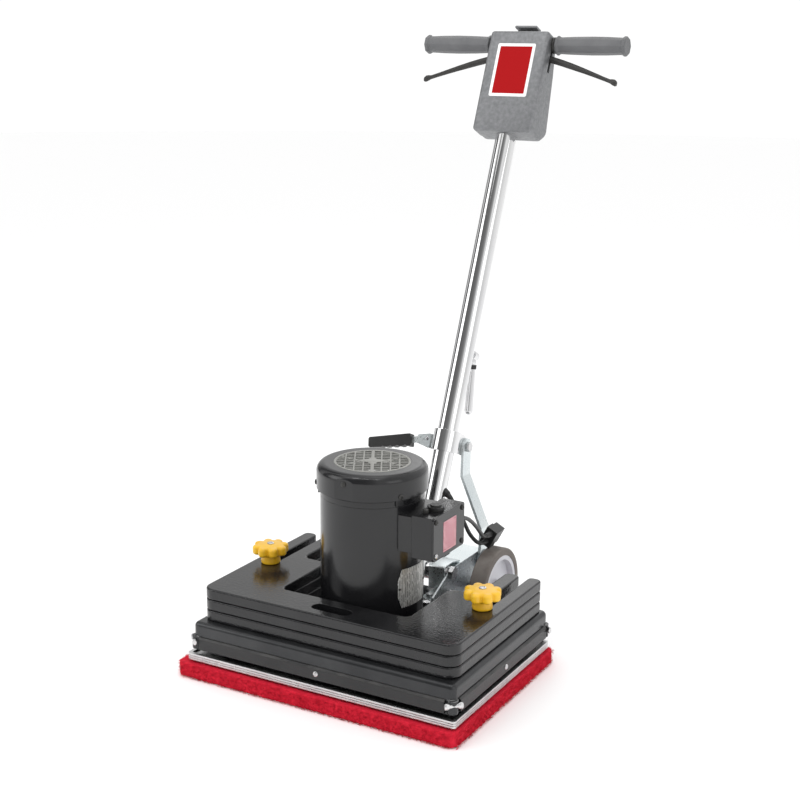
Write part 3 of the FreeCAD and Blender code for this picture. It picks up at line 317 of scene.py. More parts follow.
def finish(name, colour, wander, rough, metallic=0.0, grain=300, grain_depth=0.05, hammer=0, hammer_depth=0.25,
           lines=0, dust=0.0, edge_wear_and_sheen=None, coat=0.0, edge=1.0, specular=0.5):
    """A finish: depths and the edge radius are in millimetres, scales are per metre."""
    material = bpy.data.materials.new(name)
    material.use_nodes = True
    tree = material.node_tree
    place = node(tree, "TexCoord").outputs["Object"]

    def effect(group, label, value):
        """Places a shared effect on object coordinates, with its one value."""
        return fill(tree, node(tree, "Group", node_tree=group), {"Vector": place, label: value}).outputs

    skin = effect(GRAIN, "Scale", grain)
    rounded = effect(EDGES, "Radius", edge * MM)
    tone = blend_colour(tree, skin["Tone"], colour, wander)
    # The edge colour is edge wear; on the deck it is also a painted highlight along the rounded ridge.
    if edge_wear_and_sheen:
        tone = blend_colour(tree, rounded["Mask"], tone, edge_wear_and_sheen)
    if dust:
        tone = blend_colour(tree, effect(DUST, "Amount", dust)["Mask"], tone, DUST_COLOUR)
    height, depth = skin["Height"], grain_depth
    if hammer:
        height, depth = effect(HAMMERED, "Scale", hammer)["Height"], hammer_depth
    if lines:
        gloss = spread(tree, effect(LINES, "Scale", lines)["Mask"], 0, 1, rough[0], rough[1])
    else:
        gloss = spread(tree, skin["Height"], 0.3, 0.7, rough[0], rough[1])
    bump = node(tree, "Bump", {"Strength": 0.8, "Distance": depth * MM, "Height": height,
                               "Normal": rounded["Normal"]})
    fill(tree, tree.nodes["Principled BSDF"],
         {"Base Color": tone, "Roughness": gloss, "Normal": bump.outputs["Normal"], "Metallic": metallic,
          "Coat Weight": coat, "Coat Roughness": 0.1, "Specular IOR Level": specular})
    return material


print("finish builder is ready")

# %% [markdown]
# Painted pieces. The plates carry a hammered paint, which hides rough steel under pebbles, and the
# deck a smoother gloss whose edges are painted pale, partly as wear and partly as a painted highlight
# on its rounded ridge; the motor has a gloss enamel; the control box is a bare-looking grey casting.

# %% Paints
finishes = {
    "weight_paint": finish("black hammered gloss", (0.010, 0.010, 0.011), (0.016, 0.016, 0.017), (0.13, 0.2),
                           hammer=260, hammer_depth=0.24, edge_wear_and_sheen=(0.05, 0.05, 0.05)),
    # The deck's pale edge colour (0.42 grey over a 3 mm edge) is partly wear and partly a painted highlight on the
    # rounded ridge.
    "deck_paint": finish("dark gloss deck", (0.030, 0.031, 0.033), (0.050, 0.051, 0.053), (0.16, 0.24),
                         metallic=0.5, hammer=380, hammer_depth=0.05, edge_wear_and_sheen=(0.42, 0.42, 0.42), edge=3.0),
    "motor_paint": finish("motor enamel", (0.009, 0.009, 0.010), (0.013, 0.013, 0.014), (0.15, 0.22),
                          grain=160, grain_depth=0.02),
    "box_casting": finish("grey casting", (0.190, 0.194, 0.202), (0.265, 0.269, 0.277), (0.34, 0.52),
                          metallic=0.6, grain=2600, grain_depth=0.24, edge_wear_and_sheen=(0.5, 0.51, 0.52), dust=0.05),
    "grille_grey": finish("grille grey", (0.25, 0.25, 0.235), (0.31, 0.31, 0.29), (0.4, 0.55),
                          metallic=0.3, grain=500, grain_depth=0.06, edge_wear_and_sheen=(0.5, 0.5, 0.48), dust=0.2),
    "lever_black": finish("lever coating", (0.022, 0.021, 0.02), (0.035, 0.034, 0.032), (0.4, 0.55),
                          grain=600, edge_wear_and_sheen=(0.12, 0.12, 0.11)),
}
print("paints:", len(finishes))

# %% [markdown]
# Bare and plated metal. Zinc plate has pale cloudy patches, drawn aluminium shows long fine lines,
# and chrome is nearly a mirror with a faint haze from wiping.

# %% Metals
finishes |= {
    "tube_chrome": finish("chrome", (0.74, 0.74, 0.75), (0.8, 0.8, 0.8), (0.035, 0.09), metallic=1.0,
                          grain=120, grain_depth=0.005, edge=0.5),
    "galvanised": finish("bright zinc plate", (0.60, 0.66, 0.68), (0.74, 0.78, 0.78), (0.24, 0.4),
                         metallic=0.9, grain=240, grain_depth=0.03, edge_wear_and_sheen=(0.85, 0.87, 0.87), dust=0.05),
    "aluminium": finish("drawn aluminium", (0.62, 0.62, 0.63), (0.72, 0.72, 0.72), (0.25, 0.42),
                        metallic=1.0, grain=500, grain_depth=0.02, lines=700, edge_wear_and_sheen=(0.85, 0.85, 0.85)),
    "rivet_steel": finish("plated steel", (0.58, 0.58, 0.59), (0.66, 0.66, 0.66), (0.2, 0.32),
                          metallic=1.0, grain=700, grain_depth=0.02, edge=0.6),
    "bearing_steel": finish("ground steel", (0.5, 0.5, 0.52), (0.6, 0.6, 0.61), (0.18, 0.3),
                            metallic=1.0, lines=900, edge=0.6),
    "cast_iron": finish("cast iron", (0.09, 0.09, 0.095), (0.13, 0.13, 0.13), (0.5, 0.7),
                        metallic=0.7, grain=350, grain_depth=0.3, edge_wear_and_sheen=(0.3, 0.3, 0.3)),
    "core_steel": finish("laminated core", (0.16, 0.13, 0.11), (0.22, 0.18, 0.15), (0.4, 0.6),
                         metallic=0.6, lines=500),
}
print("finishes so far:", len(finishes))

# %% [markdown]
# Rubbers and plastics. They differ mostly in how they take light: tyre rubber is dusty and matt, the
# moulded knobs have a soft shine, and the leads are a smooth satin.

# %% Rubbers and plastics
finishes |= {
    "knob_yellow": finish("yellow moulding", (0.80, 0.44, 0.012), (0.86, 0.51, 0.02), (0.3, 0.42),
                          grain=500, grain_depth=0.04, dust=0.08, coat=0.1, edge=0.8),
    "bumper_rubber": finish("bumper rubber", (0.010, 0.010, 0.011), (0.018, 0.018, 0.019), (0.3, 0.45),
                            grain_depth=0.1, edge_wear_and_sheen=(0.06, 0.06, 0.06), dust=0.15, edge=1.5),
    "tyre_rubber": finish("tyre rubber", (0.115, 0.098, 0.088), (0.16, 0.14, 0.125), (0.6, 0.8),
                          grain=420, grain_depth=0.2, dust=0.35, edge_wear_and_sheen=(0.22, 0.2, 0.18), edge=1.5),
    "hub_grey": finish("hub moulding", (0.50, 0.50, 0.54), (0.58, 0.58, 0.61), (0.3, 0.45),
                       grain=260, dust=0.1),
    "grip_vinyl": finish("grip vinyl", (0.11, 0.112, 0.117), (0.135, 0.137, 0.142), (0.42, 0.58),
                         grain=700, grain_depth=0.08, dust=0.1, edge_wear_and_sheen=(0.2, 0.2, 0.2)),
    "cable_rubber": finish("lead rubber", (0.012, 0.012, 0.012), (0.02, 0.02, 0.02), (0.34, 0.48),
                           grain=500, grain_depth=0.04, edge=0.5),
    "isolator_rubber": finish("isolator rubber", (0.01, 0.01, 0.01), (0.02, 0.02, 0.02), (0.6, 0.8),
                              grain_depth=0.1),
    "fan_plastic": finish("black moulding", (0.012, 0.012, 0.012), (0.02, 0.02, 0.02), (0.32, 0.46),
                          grain=500, edge_wear_and_sheen=(0.06, 0.06, 0.06), edge=0.8),
    "cap_plastic": finish("cap moulding", (0.12, 0.12, 0.13), (0.16, 0.16, 0.17), (0.35, 0.5),
                          grain=400, grain_depth=0.04),
    "hook_face": finish("hook face", (0.02, 0.02, 0.02), (0.04, 0.04, 0.04), (0.8, 0.95),
                        grain=900, grain_depth=0.5),
    "pad_red": finish("red fibre", (0.52, 0.008, 0.026), (0.74, 0.020, 0.046), (0.75, 0.95),
                      grain=2600, grain_depth=1.0, edge=0.5, specular=0.15),
}
print("finishes so far:", len(finishes))

# %% [markdown]
# Printed pieces. The front label is a plain red panel in a white border, and the rating plate and
# the wiring label carry rows of short bars in place of print, so nothing on them can be read.

# %% Labels
PANEL_MIDDLE = (0.0, 915.5 * MM)
PANEL_HALF = (32.0 * MM, 45.0 * MM)
PLATE_PITCH = 3.6
WIRING_PITCH = 4.0


def panel_mask(tree, vector, axes, middle, half):
    """1 inside a rectangle on two axes of a vector, 0 outside it."""
    parts = node(tree, "SeparateXYZ", {"Vector": vector})
    masks = []
    for axis, centre, reach in zip(axes, middle, half):
        away = maths(tree, "ABSOLUTE", maths(tree, "SUBTRACT", parts.outputs[axis], centre))
        masks.append(maths(tree, "LESS_THAN", away, reach))
    return maths(tree, "MULTIPLY", *masks)


def printed(name, ground, ink, rough, pattern, **settings):
    """A label finish: its ground colour, and its ink where the pattern says."""
    material = finish(name, ground, ground, rough, grain=400, grain_depth=0.01, edge=0.3, **settings)
    tree = material.node_tree
    shader = tree.nodes["Principled BSDF"]
    under = shader.inputs["Base Color"].links[0].from_socket
    coords = next(n for n in tree.nodes if n.type == "TEX_COORD")
    mask = pattern(tree, coords.outputs["Object"])
    fill(tree, shader, {"Base Color": blend_colour(tree, mask, under, ink)})
    return material


def red_panel(tree, vector):
    """The panel inside the border, drawn along the leaning handle."""
    upright = node(tree, "Mapping", {"Vector": vector}, vector_type="TEXTURE")
    fill(tree, upright, {"Location": ON_HANDLE.translation, "Rotation": ON_HANDLE.to_euler()})
    return panel_mask(tree, upright.outputs["Vector"], ("X", "Z"), PANEL_MIDDLE, PANEL_HALF)


def print_rows(tree, vector, across, pitch):
    """Rows of short uneven bars, as small print looks from afar; pitch in millimetres."""
    scale = [0.35 / (pitch * MM)] * 3
    scale["XYZ".index(across)] = 1.0 / (pitch * MM)
    stretch = node(tree, "Mapping", {"Vector": vector, "Scale": scale})
    rows = node(tree, "TexWave", {"Vector": vector, "Scale": math.pi / 10 / (pitch * MM)},
                wave_type="BANDS", bands_direction=across)
    words = node(tree, "TexNoise", {"Vector": stretch.outputs["Vector"], "Scale": 1.6, "Detail": 3})
    return maths(tree, "MULTIPLY", spread(tree, rows.outputs["Fac"], 0.45, 0.55),
                 spread(tree, words.outputs["Fac"], 0.42, 0.5))


finishes["label_red"] = printed("front label", (0.86, 0.86, 0.86), (0.36, 0.004, 0.006), (0.5, 0.6), red_panel,
                                specular=0.08)
finishes["plate_aluminium"] = printed("rating plate", (0.66, 0.66, 0.64), (0.17, 0.17, 0.16), (0.3, 0.45),
                                      lambda tree, vector: print_rows(tree, vector, "Y", PLATE_PITCH),
                                      metallic=0.6)
WIRING_LABEL = printed("wiring label", (0.66, 0.36, 0.40), (0.33, 0.05, 0.08), (0.4, 0.5),
                       lambda tree, vector: print_rows(tree, vector, "Z", WIRING_PITCH))
print("labels are printed with blanks and bars only")

# %% Give every CAD node its finish
own_finish = {"lever_grip": finishes["fan_plastic"]}
for part in frame["record"]["subparts"]:
    shown = nodes[part["node"]]
    shown.data.materials.clear()
    shown.data.materials.append(own_finish.get(part["node"], finishes[part["material_slot"]]))

# %% [markdown]
# ## Modelling helpers
# Each new piece starts as a primitive and is shaped in edit mode, as by hand. These few helpers stand
# for what a hand does: click one piece, pick faces, turn a round piece ring by ring on its axis,
# finish it with a modifier, and fix it to the body it belongs to.


# %% Selecting and editing
def deselect():
    """Selects nothing."""
    for other in bpy.context.selected_objects:
        other.select_set(False)


def alone(obj):
    """Selects one object and nothing else."""
    deselect()
    obj.select_set(True)
    bpy.context.view_layer.objects.active = obj


def settle(name):
    """Names the active object and puts its place and turn into its mesh."""
    obj = bpy.context.object
    alone(obj)
    obj.name = name
    obj.data.name = name
    bpy.ops.object.transform_apply(location=True, rotation=True, scale=True)
    return obj


def pick(obj, kind, test):
    """Opens edit mode with just the faces, edges or vertices that pass a test."""
    alone(obj)
    bpy.ops.object.mode_set(mode="EDIT")
    bpy.ops.mesh.select_mode(type=kind)
    bpy.ops.mesh.select_all(action="DESELECT")
    bpy.ops.object.mode_set(mode="OBJECT")
    mesh = obj.data
    if kind == "FACE":
        for face in mesh.polygons:
            face.select = test(face.center, face.normal)
    elif kind == "EDGE":
        for edge in mesh.edges:
            edge.select = test(mesh.vertices[edge.vertices[0]].co, mesh.vertices[edge.vertices[1]].co)
    else:
        for corner in mesh.vertices:
            corner.select = test(corner.co)
    bpy.ops.object.mode_set(mode="EDIT")


def leave():
    """Closes edit mode."""
    bpy.ops.object.mode_set(mode="OBJECT")


def round_edges(obj, test, offset, segments=1):
    """Bevels the edges that pass a test; the offset is in millimetres."""
    pick(obj, "EDGE", test)
    bpy.ops.mesh.bevel(offset=offset * MM, segments=segments)
    leave()


def modify(obj, kind, **settings):
    """Adds one modifier and applies it."""
    alone(obj)
    made = obj.modifiers.new(kind.title(), kind)
    for key, value in settings.items():
        setattr(made, key, value)
    bpy.ops.object.modifier_apply(modifier=made.name)


def moved(obj, place):
    """Moves a piece and puts the move into its mesh."""
    obj.matrix_world = place @ obj.matrix_world
    alone(obj)
    bpy.ops.object.transform_apply(location=True, rotation=True, scale=True)
    return obj


def twin(obj, name, place=None):
    """A copy with its own mesh."""
    copy = obj.copy()
    copy.data = obj.data.copy()
    copy.name = name
    copy.data.name = name
    bpy.context.scene.collection.objects.link(copy)
    if place is not None:
        moved(copy, place)
    return copy


def discard(*pieces):
    """Removes helper pieces."""
    for piece in pieces:
        bpy.data.objects.remove(piece)


def join(pieces, name):
    """Joins pieces into the first one."""
    alone(pieces[0])
    for piece in pieces[1:]:
        piece.select_set(True)
    bpy.ops.object.join()
    pieces[0].name = name
    return pieces[0]


def face_out(obj):
    """Merges doubles and turns every face outwards."""
    pick(obj, "VERT", lambda co: True)
    bpy.ops.mesh.remove_doubles(threshold=0.000001)
    bpy.ops.mesh.normals_make_consistent(inside=False)
    leave()
    return obj


def complete(obj, slot, body, smooth=40, material=None):
    """Shades a piece, gives it its finish and fixes it to a body."""
    alone(obj)
    bpy.ops.object.shade_smooth_by_angle(angle=math.radians(smooth))
    obj.data.materials.clear()
    obj.data.materials.append(material or finishes[slot])
    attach(obj, body)
    print(obj.name, "faces", len(obj.data.polygons), "rides on", body)
    return obj


# %% A piece turned ring by ring
def turned(name, rings, sides=48):
    """A round piece along Z: a disc, then each (radius, height) ring extruded from the last and resized."""
    deselect()
    radius, height = rings[0]
    bpy.ops.mesh.primitive_circle_add(vertices=sides, radius=radius * MM, fill_type="NGON",
                                      location=(0, 0, height * MM))
    obj = settle(name)
    pick(obj, "FACE", lambda centre, normal: True)
    for wider, higher in rings[1:]:
        bpy.ops.mesh.extrude_region_move(TRANSFORM_OT_translate={"value": (0, 0, (higher - height) * MM)})
        ratio = wider / radius
        bpy.ops.transform.resize(value=(ratio, ratio, 1), center_override=(0, 0, higher * MM))
        radius, height = wider, higher
    leave()
    return face_out(obj)


def block(name, low, high):
    """A box between two corners in millimetres."""
    deselect()
    middle = [(a + b) / 2 * MM for a, b in zip(low, high)]
    size = [(b - a) * MM for a, b in zip(low, high)]
    bpy.ops.mesh.primitive_cube_add(size=1, location=middle, scale=size)
    return settle(name)


print("modelling helpers are ready")

# %% [markdown]
# ## Leads
# Two short leads meet in a plug connector behind the wiring box. Each is a fixed length of 7 mm
# rubber cable, so each is one smooth curve through its route. The lead from the tube crosses the
# handle's pivot and has to bend; here it is only turned into a mesh tube.

# %% Routes, in metres
LEAD_DIAMETER = 0.007
RELIEF_TIP = 1.12
HANDLE_LEAD = [(0.02404, 0.22212, 0.2500), (0.0362, 0.2188, 0.2421), (0.0485, 0.2135, 0.2305),
               (0.0590, 0.2090, 0.2185), (0.0690, 0.2055, 0.2060), (0.0775, 0.2035, 0.1925),
               (0.0855, 0.2075, 0.1810), (0.0903, 0.2160, 0.1725), (0.0932, 0.2280, 0.1695),
               (0.0932, 0.2400, 0.1695)]
MOTOR_LEAD = [(0.118, 0.069, 0.262), (0.118, 0.091, 0.262), (0.1165, 0.116, 0.2535), (0.1135, 0.142, 0.2385),
              (0.110, 0.167, 0.221), (0.106, 0.1915, 0.202), (0.1012, 0.2155, 0.1845), (0.1012, 0.240, 0.1845)]


def empty_curve(name, radius, roundness=6):
    """A 3D curve object without splines, with a round section."""
    data = bpy.data.curves.new(name, "CURVE")
    data.dimensions = "3D"
    data.bevel_depth = radius
    data.bevel_resolution = roundness
    obj = bpy.data.objects.new(name, data)
    bpy.context.scene.collection.objects.link(obj)
    return obj


def add_spline(obj, kind, points):
    """Adds one spline through, or controlled by, points in metres."""
    spline = obj.data.splines.new(kind)
    spline.points.add(len(points) - 1)
    for point, place in zip(spline.points, points):
        point.co = (*place, 1)
    return spline


def to_mesh(obj):
    """Turns a curve into a mesh."""
    alone(obj)
    bpy.ops.object.convert(target="MESH")
    return bpy.context.object


def route_curve(name, points, thick):
    """A NURBS curve with the route's points as its control points."""
    obj = empty_curve(name, thick / 2)
    obj.data.resolution_u = 10
    obj.data.use_fill_caps = True
    spline = add_spline(obj, "NURBS", points)
    spline.order_u = 3
    spline.use_endpoint_u = True
    return obj


def line_points(points):
    """Points along the smooth line of a route, read from its curve."""
    bare = route_curve("bare_route", points, 0)
    bare.data.use_fill_caps = False
    mesh = bpy.data.meshes.new_from_object(bare)
    line = [corner.co.copy() for corner in mesh.vertices]
    discard(bare)
    return line


def line_length(line):
    """Length of a line through points."""
    return sum((b - a).length for a, b in zip(line, line[1:]))


handle_line = line_points(HANDLE_LEAD)
motor_line = line_points(MOTOR_LEAD)
print("lead lengths", round(line_length(handle_line), 4), round(line_length(motor_line), 4))


# %% Leads and their tapered reliefs
def relief(name, line, reach, thick_start, body):
    """A tapered sleeve over the first stretch of a lead, following its line."""
    kept = [line[0]]
    for point in line[1:]:
        if (point - line[0]).length > reach:
            break
        kept.append(point)
    obj = empty_curve(name, LEAD_DIAMETER / 2)
    obj.data.use_fill_caps = True
    spline = add_spline(obj, "POLY", kept)
    for i, point in enumerate(spline.points):
        share = i / (len(kept) - 1)
        point.radius = thick_start * (1 - share) + RELIEF_TIP * share
    return complete(face_out(to_mesh(obj)), "cable_rubber", body)


motor_lead = route_curve("motor_lead_cable", MOTOR_LEAD, LEAD_DIAMETER)
motor_lead.data.materials.append(finishes["cable_rubber"])
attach(motor_lead, "base")
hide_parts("motor_lead")

handle_lead = face_out(to_mesh(route_curve("handle_lead_cable", HANDLE_LEAD, LEAD_DIAMETER)))
bpy.ops.object.shade_smooth_by_angle(angle=math.radians(50))
handle_lead.data.materials.append(finishes["cable_rubber"])
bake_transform(handle_lead)
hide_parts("handle_lead")

reliefs = [relief("gland_relief", motor_line, 0.020, 1.9, "base"),
           relief("upper_port_relief", motor_line[::-1], 0.020, 1.7, "base"),
           relief("lower_port_relief", handle_line[::-1], 0.014, 1.6, "base"),
           relief("tube_relief", handle_line, 0.014, 1.6, "handle")]
print("leads are in place")

# %% [markdown]
# ## Scouring pad
# The pad is a slab of crimped red fibres, bonded but open, so light gets lost in it and its edges are
# fuzzy. A slab is remeshed and roughened for the bulk, and loose fibres are added all round its
# edge, where they are seen against the floor. They are one curve with thousands of short bent
# strokes, which is far lighter than hair and is turned into plain mesh.

# %% Pad bulk
PAD_LOW = (-268, -192, 0.9)
PAD_HIGH = (258, 180, 25.8)


def is_upright(a, b):
    """True for an edge that stands along Z."""
    return abs(a.x - b.x) < 1e-6 and abs(a.y - b.y) < 1e-6


def pad_bulk():
    """The slab, with round corners and a rough skin."""
    bulk = block("red_fibre_pad", [c + 1.5 for c in PAD_LOW[:2]] + [PAD_LOW[2]],
                 [c - 1.5 for c in PAD_HIGH[:2]] + [PAD_HIGH[2]])
    round_edges(bulk, is_upright, 12, 6)
    modify(bulk, "REMESH", mode="VOXEL", voxel_size=3.2 * MM)
    clumps = bpy.data.textures.new("fibre_clumps", "CLOUDS")
    clumps.noise_scale = 5 * MM
    clumps.noise_depth = 2
    modify(bulk, "DISPLACE", texture=clumps, strength=2.6 * MM, mid_level=0.5)
    return bulk


pad = pad_bulk()
print("pad bulk faces", len(pad.data.polygons))


# %% Loose fibres
FIBRES = 9000
FIBRE_SEED = 11
FIBRE_RADIUS = 0.2
FIBRE_LOW = 0.4
FIBRE_HIGH = 26.3
CORNER_GAP = 8
ROOT_INSET = 1.5


def edge_spot(rng):
    """A random spot on the pad's edge and the direction that faces away from it."""
    long_side = PAD_HIGH[0] - PAD_LOW[0] - 2 * CORNER_GAP
    short_side = PAD_HIGH[1] - PAD_LOW[1] - 2 * CORNER_GAP
    run = rng.uniform(0, 2 * (long_side + short_side))
    sign = 1
    if run > long_side + short_side:
        run -= long_side + short_side
        sign = -1
    if run < long_side:
        x = PAD_LOW[0] + CORNER_GAP + run
        y = PAD_HIGH[1] - ROOT_INSET if sign > 0 else PAD_LOW[1] + ROOT_INSET
        return Vector((x, y, 0)), Vector((0, sign, 0))
    y = PAD_LOW[1] + CORNER_GAP + run - long_side
    x = PAD_HIGH[0] - ROOT_INSET if sign > 0 else PAD_LOW[0] + ROOT_INSET
    return Vector((x, y, 0)), Vector((sign, 0, 0))


def loose_fibres(count, seed):
    """Short bent strokes that stand off the pad's edge."""
    rng = random.Random(seed)
    fibres = empty_curve("fibres", FIBRE_RADIUS * MM, 0)
    for _ in range(count):
        spot, out = edge_spot(rng)
        along = Vector((-out.y, out.x, 0))
        height = rng.uniform(0.8, 25.6)
        sway = rng.uniform(-5, 5)
        rise = rng.uniform(-3, 3)
        reach = rng.uniform(0.6, 3.2)
        shape = ((-1.0, 0.0, 0.0), (reach, 0.5 * sway, 0.6 * rise), (rng.uniform(-0.5, reach), sway, rise))
        stroke = []
        for off, side, up in shape:
            place = spot + out * off + along * side
            place.z = min(max(height + up, FIBRE_LOW), FIBRE_HIGH)
            stroke.append(place * MM)
        add_spline(fibres, "POLY", stroke)
    return to_mesh(fibres)


pad = join([pad, loose_fibres(FIBRES, FIBRE_SEED)], "red_fibre_pad")
complete(pad, "pad_red", "pad_driver", smooth=60)
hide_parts("floor_pad")

# %% [markdown]
# ## Star knobs
# A star knob is one moulding: a stem, a thick disc and eight round lobes that run into each other
# with soft fillets. The simple shapes are joined and remeshed into one skin, which is then relaxed,
# so the fillets come by themselves. One knob is made at the origin and copied to both studs.

# %% Knob moulding
KNOB_FOOT = 151
STUD_X = 205
LOBES = 8
LOBE_OUT = 23


def knob_moulding():
    """The yellow moulding, standing on the origin."""
    stem = turned("knob", ((15.5, 0), (16.6, 1), (17, 4), (16, 14), (17, 19)), 48)
    disc = turned("disc", ((19, 15.5), (23.5, 17.5), (24, 20), (24, 30), (22, 33), (12, 34.5), (8, 34.5)), 64)
    parts = [stem, disc]
    lobe = turned("lobe", ((5.2, 17), (7.6, 18.6), (8.4, 21), (8.4, 29.5), (7.2, 32), (4.6, 33.4)), 28)
    moved(lobe, at(LOBE_OUT, 0, 0))
    for step in range(LOBES):
        parts.append(twin(lobe, "lobe_copy", plan_turn(360 / LOBES * step)))
    discard(lobe)
    knob = join(parts, "knob")
    modify(knob, "REMESH", mode="VOXEL", voxel_size=0.9 * MM)
    modify(knob, "SMOOTH", factor=0.5, iterations=5)
    bore = turned("bore", ((6.1, -2), (6.1, 40)), 32)
    modify(knob, "BOOLEAN", operation="DIFFERENCE", object=bore, solver="EXACT")
    discard(bore)
    return knob


knob = knob_moulding()
print("knob faces", len(knob.data.polygons))

# %% Both knobs and their metal inserts
insert = turned("insert", ((6.0, 33.2), (6.0, 35.4), (5.4, 35.9), (3.6, 35.9), (3.2, 35.2), (1.0, 35.0)), 32)
for side, label in ((-1, "left"), (1, "right")):
    place = at(side * STUD_X, 0, KNOB_FOOT)
    placed = twin(knob, "knob_moulding_" + label, place)
    complete(placed, "knob_yellow", "knob_" + label, smooth=60)
    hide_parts("star_knob_" + label)
    metal = twin(insert, "knob_insert_" + label, place)
    complete(metal, "rivet_steel", "knob_" + label)
discard(knob, insert)

# %% [markdown]
# ## Fan grille
# The grille is a die-cast disc: a rim, a solid star in the middle, light main ribs that stand proud
# and rows of thin bars between them, set a little lower. Each rib is a bar with rounded edges, cut
# to the length of its chord, and one pattern is turned into line with the machine's wiring side.

# %% Grille
GRILLE_FOOT = 362.6
GRILLE_TOP = 366.3
GRILLE_TURN = plan_turn(29.4)


def rib(name, half_width, length, top, deep, angle=0, along=0, across=0):
    """One bar along Y, rounded on its top edges, shifted and turned in plan."""
    bar = block(name, (-half_width, -length / 2, top - deep), (half_width, length / 2, top))
    round_edges(bar, lambda a, b: min(a.z, b.z) > (top - 0.01) * MM and abs(a.x - b.x) < 1e-6, 0.7, 2)
    return moved(bar, at(across, along, 0) @ plan_turn(angle))


def chord(away):
    """Length of a bar at this distance from the middle, ending inside the rim."""
    return 2 * math.sqrt(61.5 ** 2 - away ** 2)


def fan_grille():
    """Rim, main ribs, crossing bars and the solid star."""
    rim = turned("grille", ((63.4, GRILLE_FOOT), (63.4, 366.0), (62.6, 366.6), (60.2, 366.6), (59.2, 365.9),
                            (59.2, GRILLE_FOOT)), 96)
    pick(rim, "FACE", lambda centre, normal: centre.xy.length < 1e-5)
    bpy.ops.mesh.delete(type="FACE")
    leave()
    pick(rim, "EDGE", lambda a, b: max(a.z, b.z) < (GRILLE_FOOT + 0.1) * MM)
    bpy.ops.mesh.bridge_edge_loops()
    leave()
    parts = [face_out(rim)]
    for step in (-3, -2, -1, 1, 2, 3):
        across = 14.8 * step
        parts.append(rib("main", 1.3, chord(across), GRILLE_TOP, 2.6, across=across))
    parts.append(rib("spine", 2.8, chord(0), GRILLE_TOP + 0.1, 2.8))
    for side in (-1, 1):
        for rise in (-1, 1):
            parts.append(rib("diagonal", 1.3, 47, GRILLE_TOP, 2.6, angle=side * rise * -50,
                             across=side * 38, along=rise * 15.5))
    for step in range(-6, 6):
        away = 4.6 + 9.2 * step
        parts.append(rib("bar", 1.6, chord(away), GRILLE_TOP - 1.1, 1.6, angle=90, along=away))
    for wide, high, top in ((22, 7.5, 366.8), (8, 19, 366.6)):
        star = turned("star", ((1, 363.4), (1, top - 0.3), (0.94, top)), 48)
        parts.append(moved(star, Matrix.Diagonal((wide, high, 1, 1))))
    return moved(join(parts, "fan_grille_casting"), GRILLE_TURN)


grille = complete(fan_grille(), "grille_grey", "base", smooth=35)
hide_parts("fan_grille")

# %% [markdown]
# ## Control box
# The box is two grey castings that meet in a seam, each a thin shell with generous outer radii. A
# shell is a closed block whose edges are bevelled; the face at the seam is then deleted and the
# wall is given its thickness. The slots let the levers in, so they are cut through both shells.

# %% Shell helpers
BOX_FOOT = 800
BOX_HEAD = 992
BOX_HALF = 58.5
BOX_FACE = -29
SEAM = 6


def away_from_seam(a, b):
    """True for an edge that doesn't lie in the seam."""
    return abs(a.y - b.y) > 1e-6 or abs(a.y - SEAM * MM) > 1e-3


def to_shell(obj, wall=3.4):
    """Rounds the edges, opens the seam side and gives the wall its thickness."""
    pick(obj, "EDGE", away_from_seam)
    bpy.ops.mesh.bevel(offset=6.5 * MM, segments=5, clamp_overlap=True)
    leave()
    pick(obj, "FACE", lambda centre, normal: abs(centre.y - SEAM * MM) < 1e-3 and abs(normal.y) > 0.9)
    bpy.ops.mesh.delete(type="FACE")
    leave()
    pick(obj, "FACE", lambda centre, normal: True)
    bpy.ops.mesh.normals_make_consistent(inside=False)
    leave()
    modify(obj, "SOLIDIFY", thickness=wall * MM, offset=-1, use_rim=True)
    return obj


def cut_away(obj, cutters):
    """Cuts blocks out of a piece."""
    for cutter in cutters:
        modify(obj, "BOOLEAN", operation="DIFFERENCE", object=cutter, solver="EXACT")
        discard(cutter)
    return obj


def box_openings():
    """The two lever slots, the hole for the tube and the hole for the cross bar."""
    slots = [block("slot", (side * 58 - 8, -6, 922), (side * 58 + 8, SEAM + 0.1, 975)) for side in (-1, 1)]
    tube_hole = turned("hole", ((19.3, BOX_FOOT - 10), (19.3, BOX_FOOT + 14)), 48)
    bar_hole = moved(turned("hole", ((12.9, -80), (12.9, 80)), 40), at(0, 0, 974.7) @ TO_RIGHT)
    return slots + [tube_hole, bar_hole]


print("box", BOX_HEAD - BOX_FOOT, "mm tall")


# %% Front casting
def front_casting():
    """The cover: a shallow block, open to the rear."""
    cover = block("control_box_cover", (-BOX_HALF, BOX_FACE, BOX_FOOT), (BOX_HALF, SEAM - 0.4, BOX_HEAD))
    return moved(cut_away(to_shell(cover), box_openings()), ON_HANDLE)


cover = complete(front_casting(), "box_casting", "handle", smooth=35)
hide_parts("control_cover")


# %% Rear casting
def rear_casting():
    """The housing: its back slopes, so a flat foot is extruded up in three steps."""
    start = SEAM + 0.4
    side = BOX_HALF - 1.8
    housing = block("control_box_housing", (-side, start, BOX_FOOT), (side, 27, 819))
    levels = ((819, 51), (934, 31), (BOX_HEAD, 15))
    pick(housing, "VERT", lambda co: co.z > 818 * MM and co.y > 26 * MM)
    bpy.ops.transform.translate(value=(0, (51 - 27) * MM, 0))
    leave()
    for (low, near), (high, far) in zip(levels, levels[1:]):
        pick(housing, "FACE", lambda centre, normal: abs(centre.z - low * MM) < 1e-5 and normal.z > 0.9)
        bpy.ops.mesh.extrude_region_move(TRANSFORM_OT_translate={"value": (0, 0, (high - low) * MM)})
        ratio = (far - start) / (near - start)
        bpy.ops.transform.resize(value=(1, ratio, 1), center_override=(0, start * MM, high * MM))
        leave()
    return moved(cut_away(to_shell(face_out(housing)), box_openings()), ON_HANDLE)


def soft_block(name, low, high, radius):
    """A block with every edge rounded."""
    made = block(name, low, high)
    modify(made, "BEVEL", width=radius * MM, segments=3)
    return made


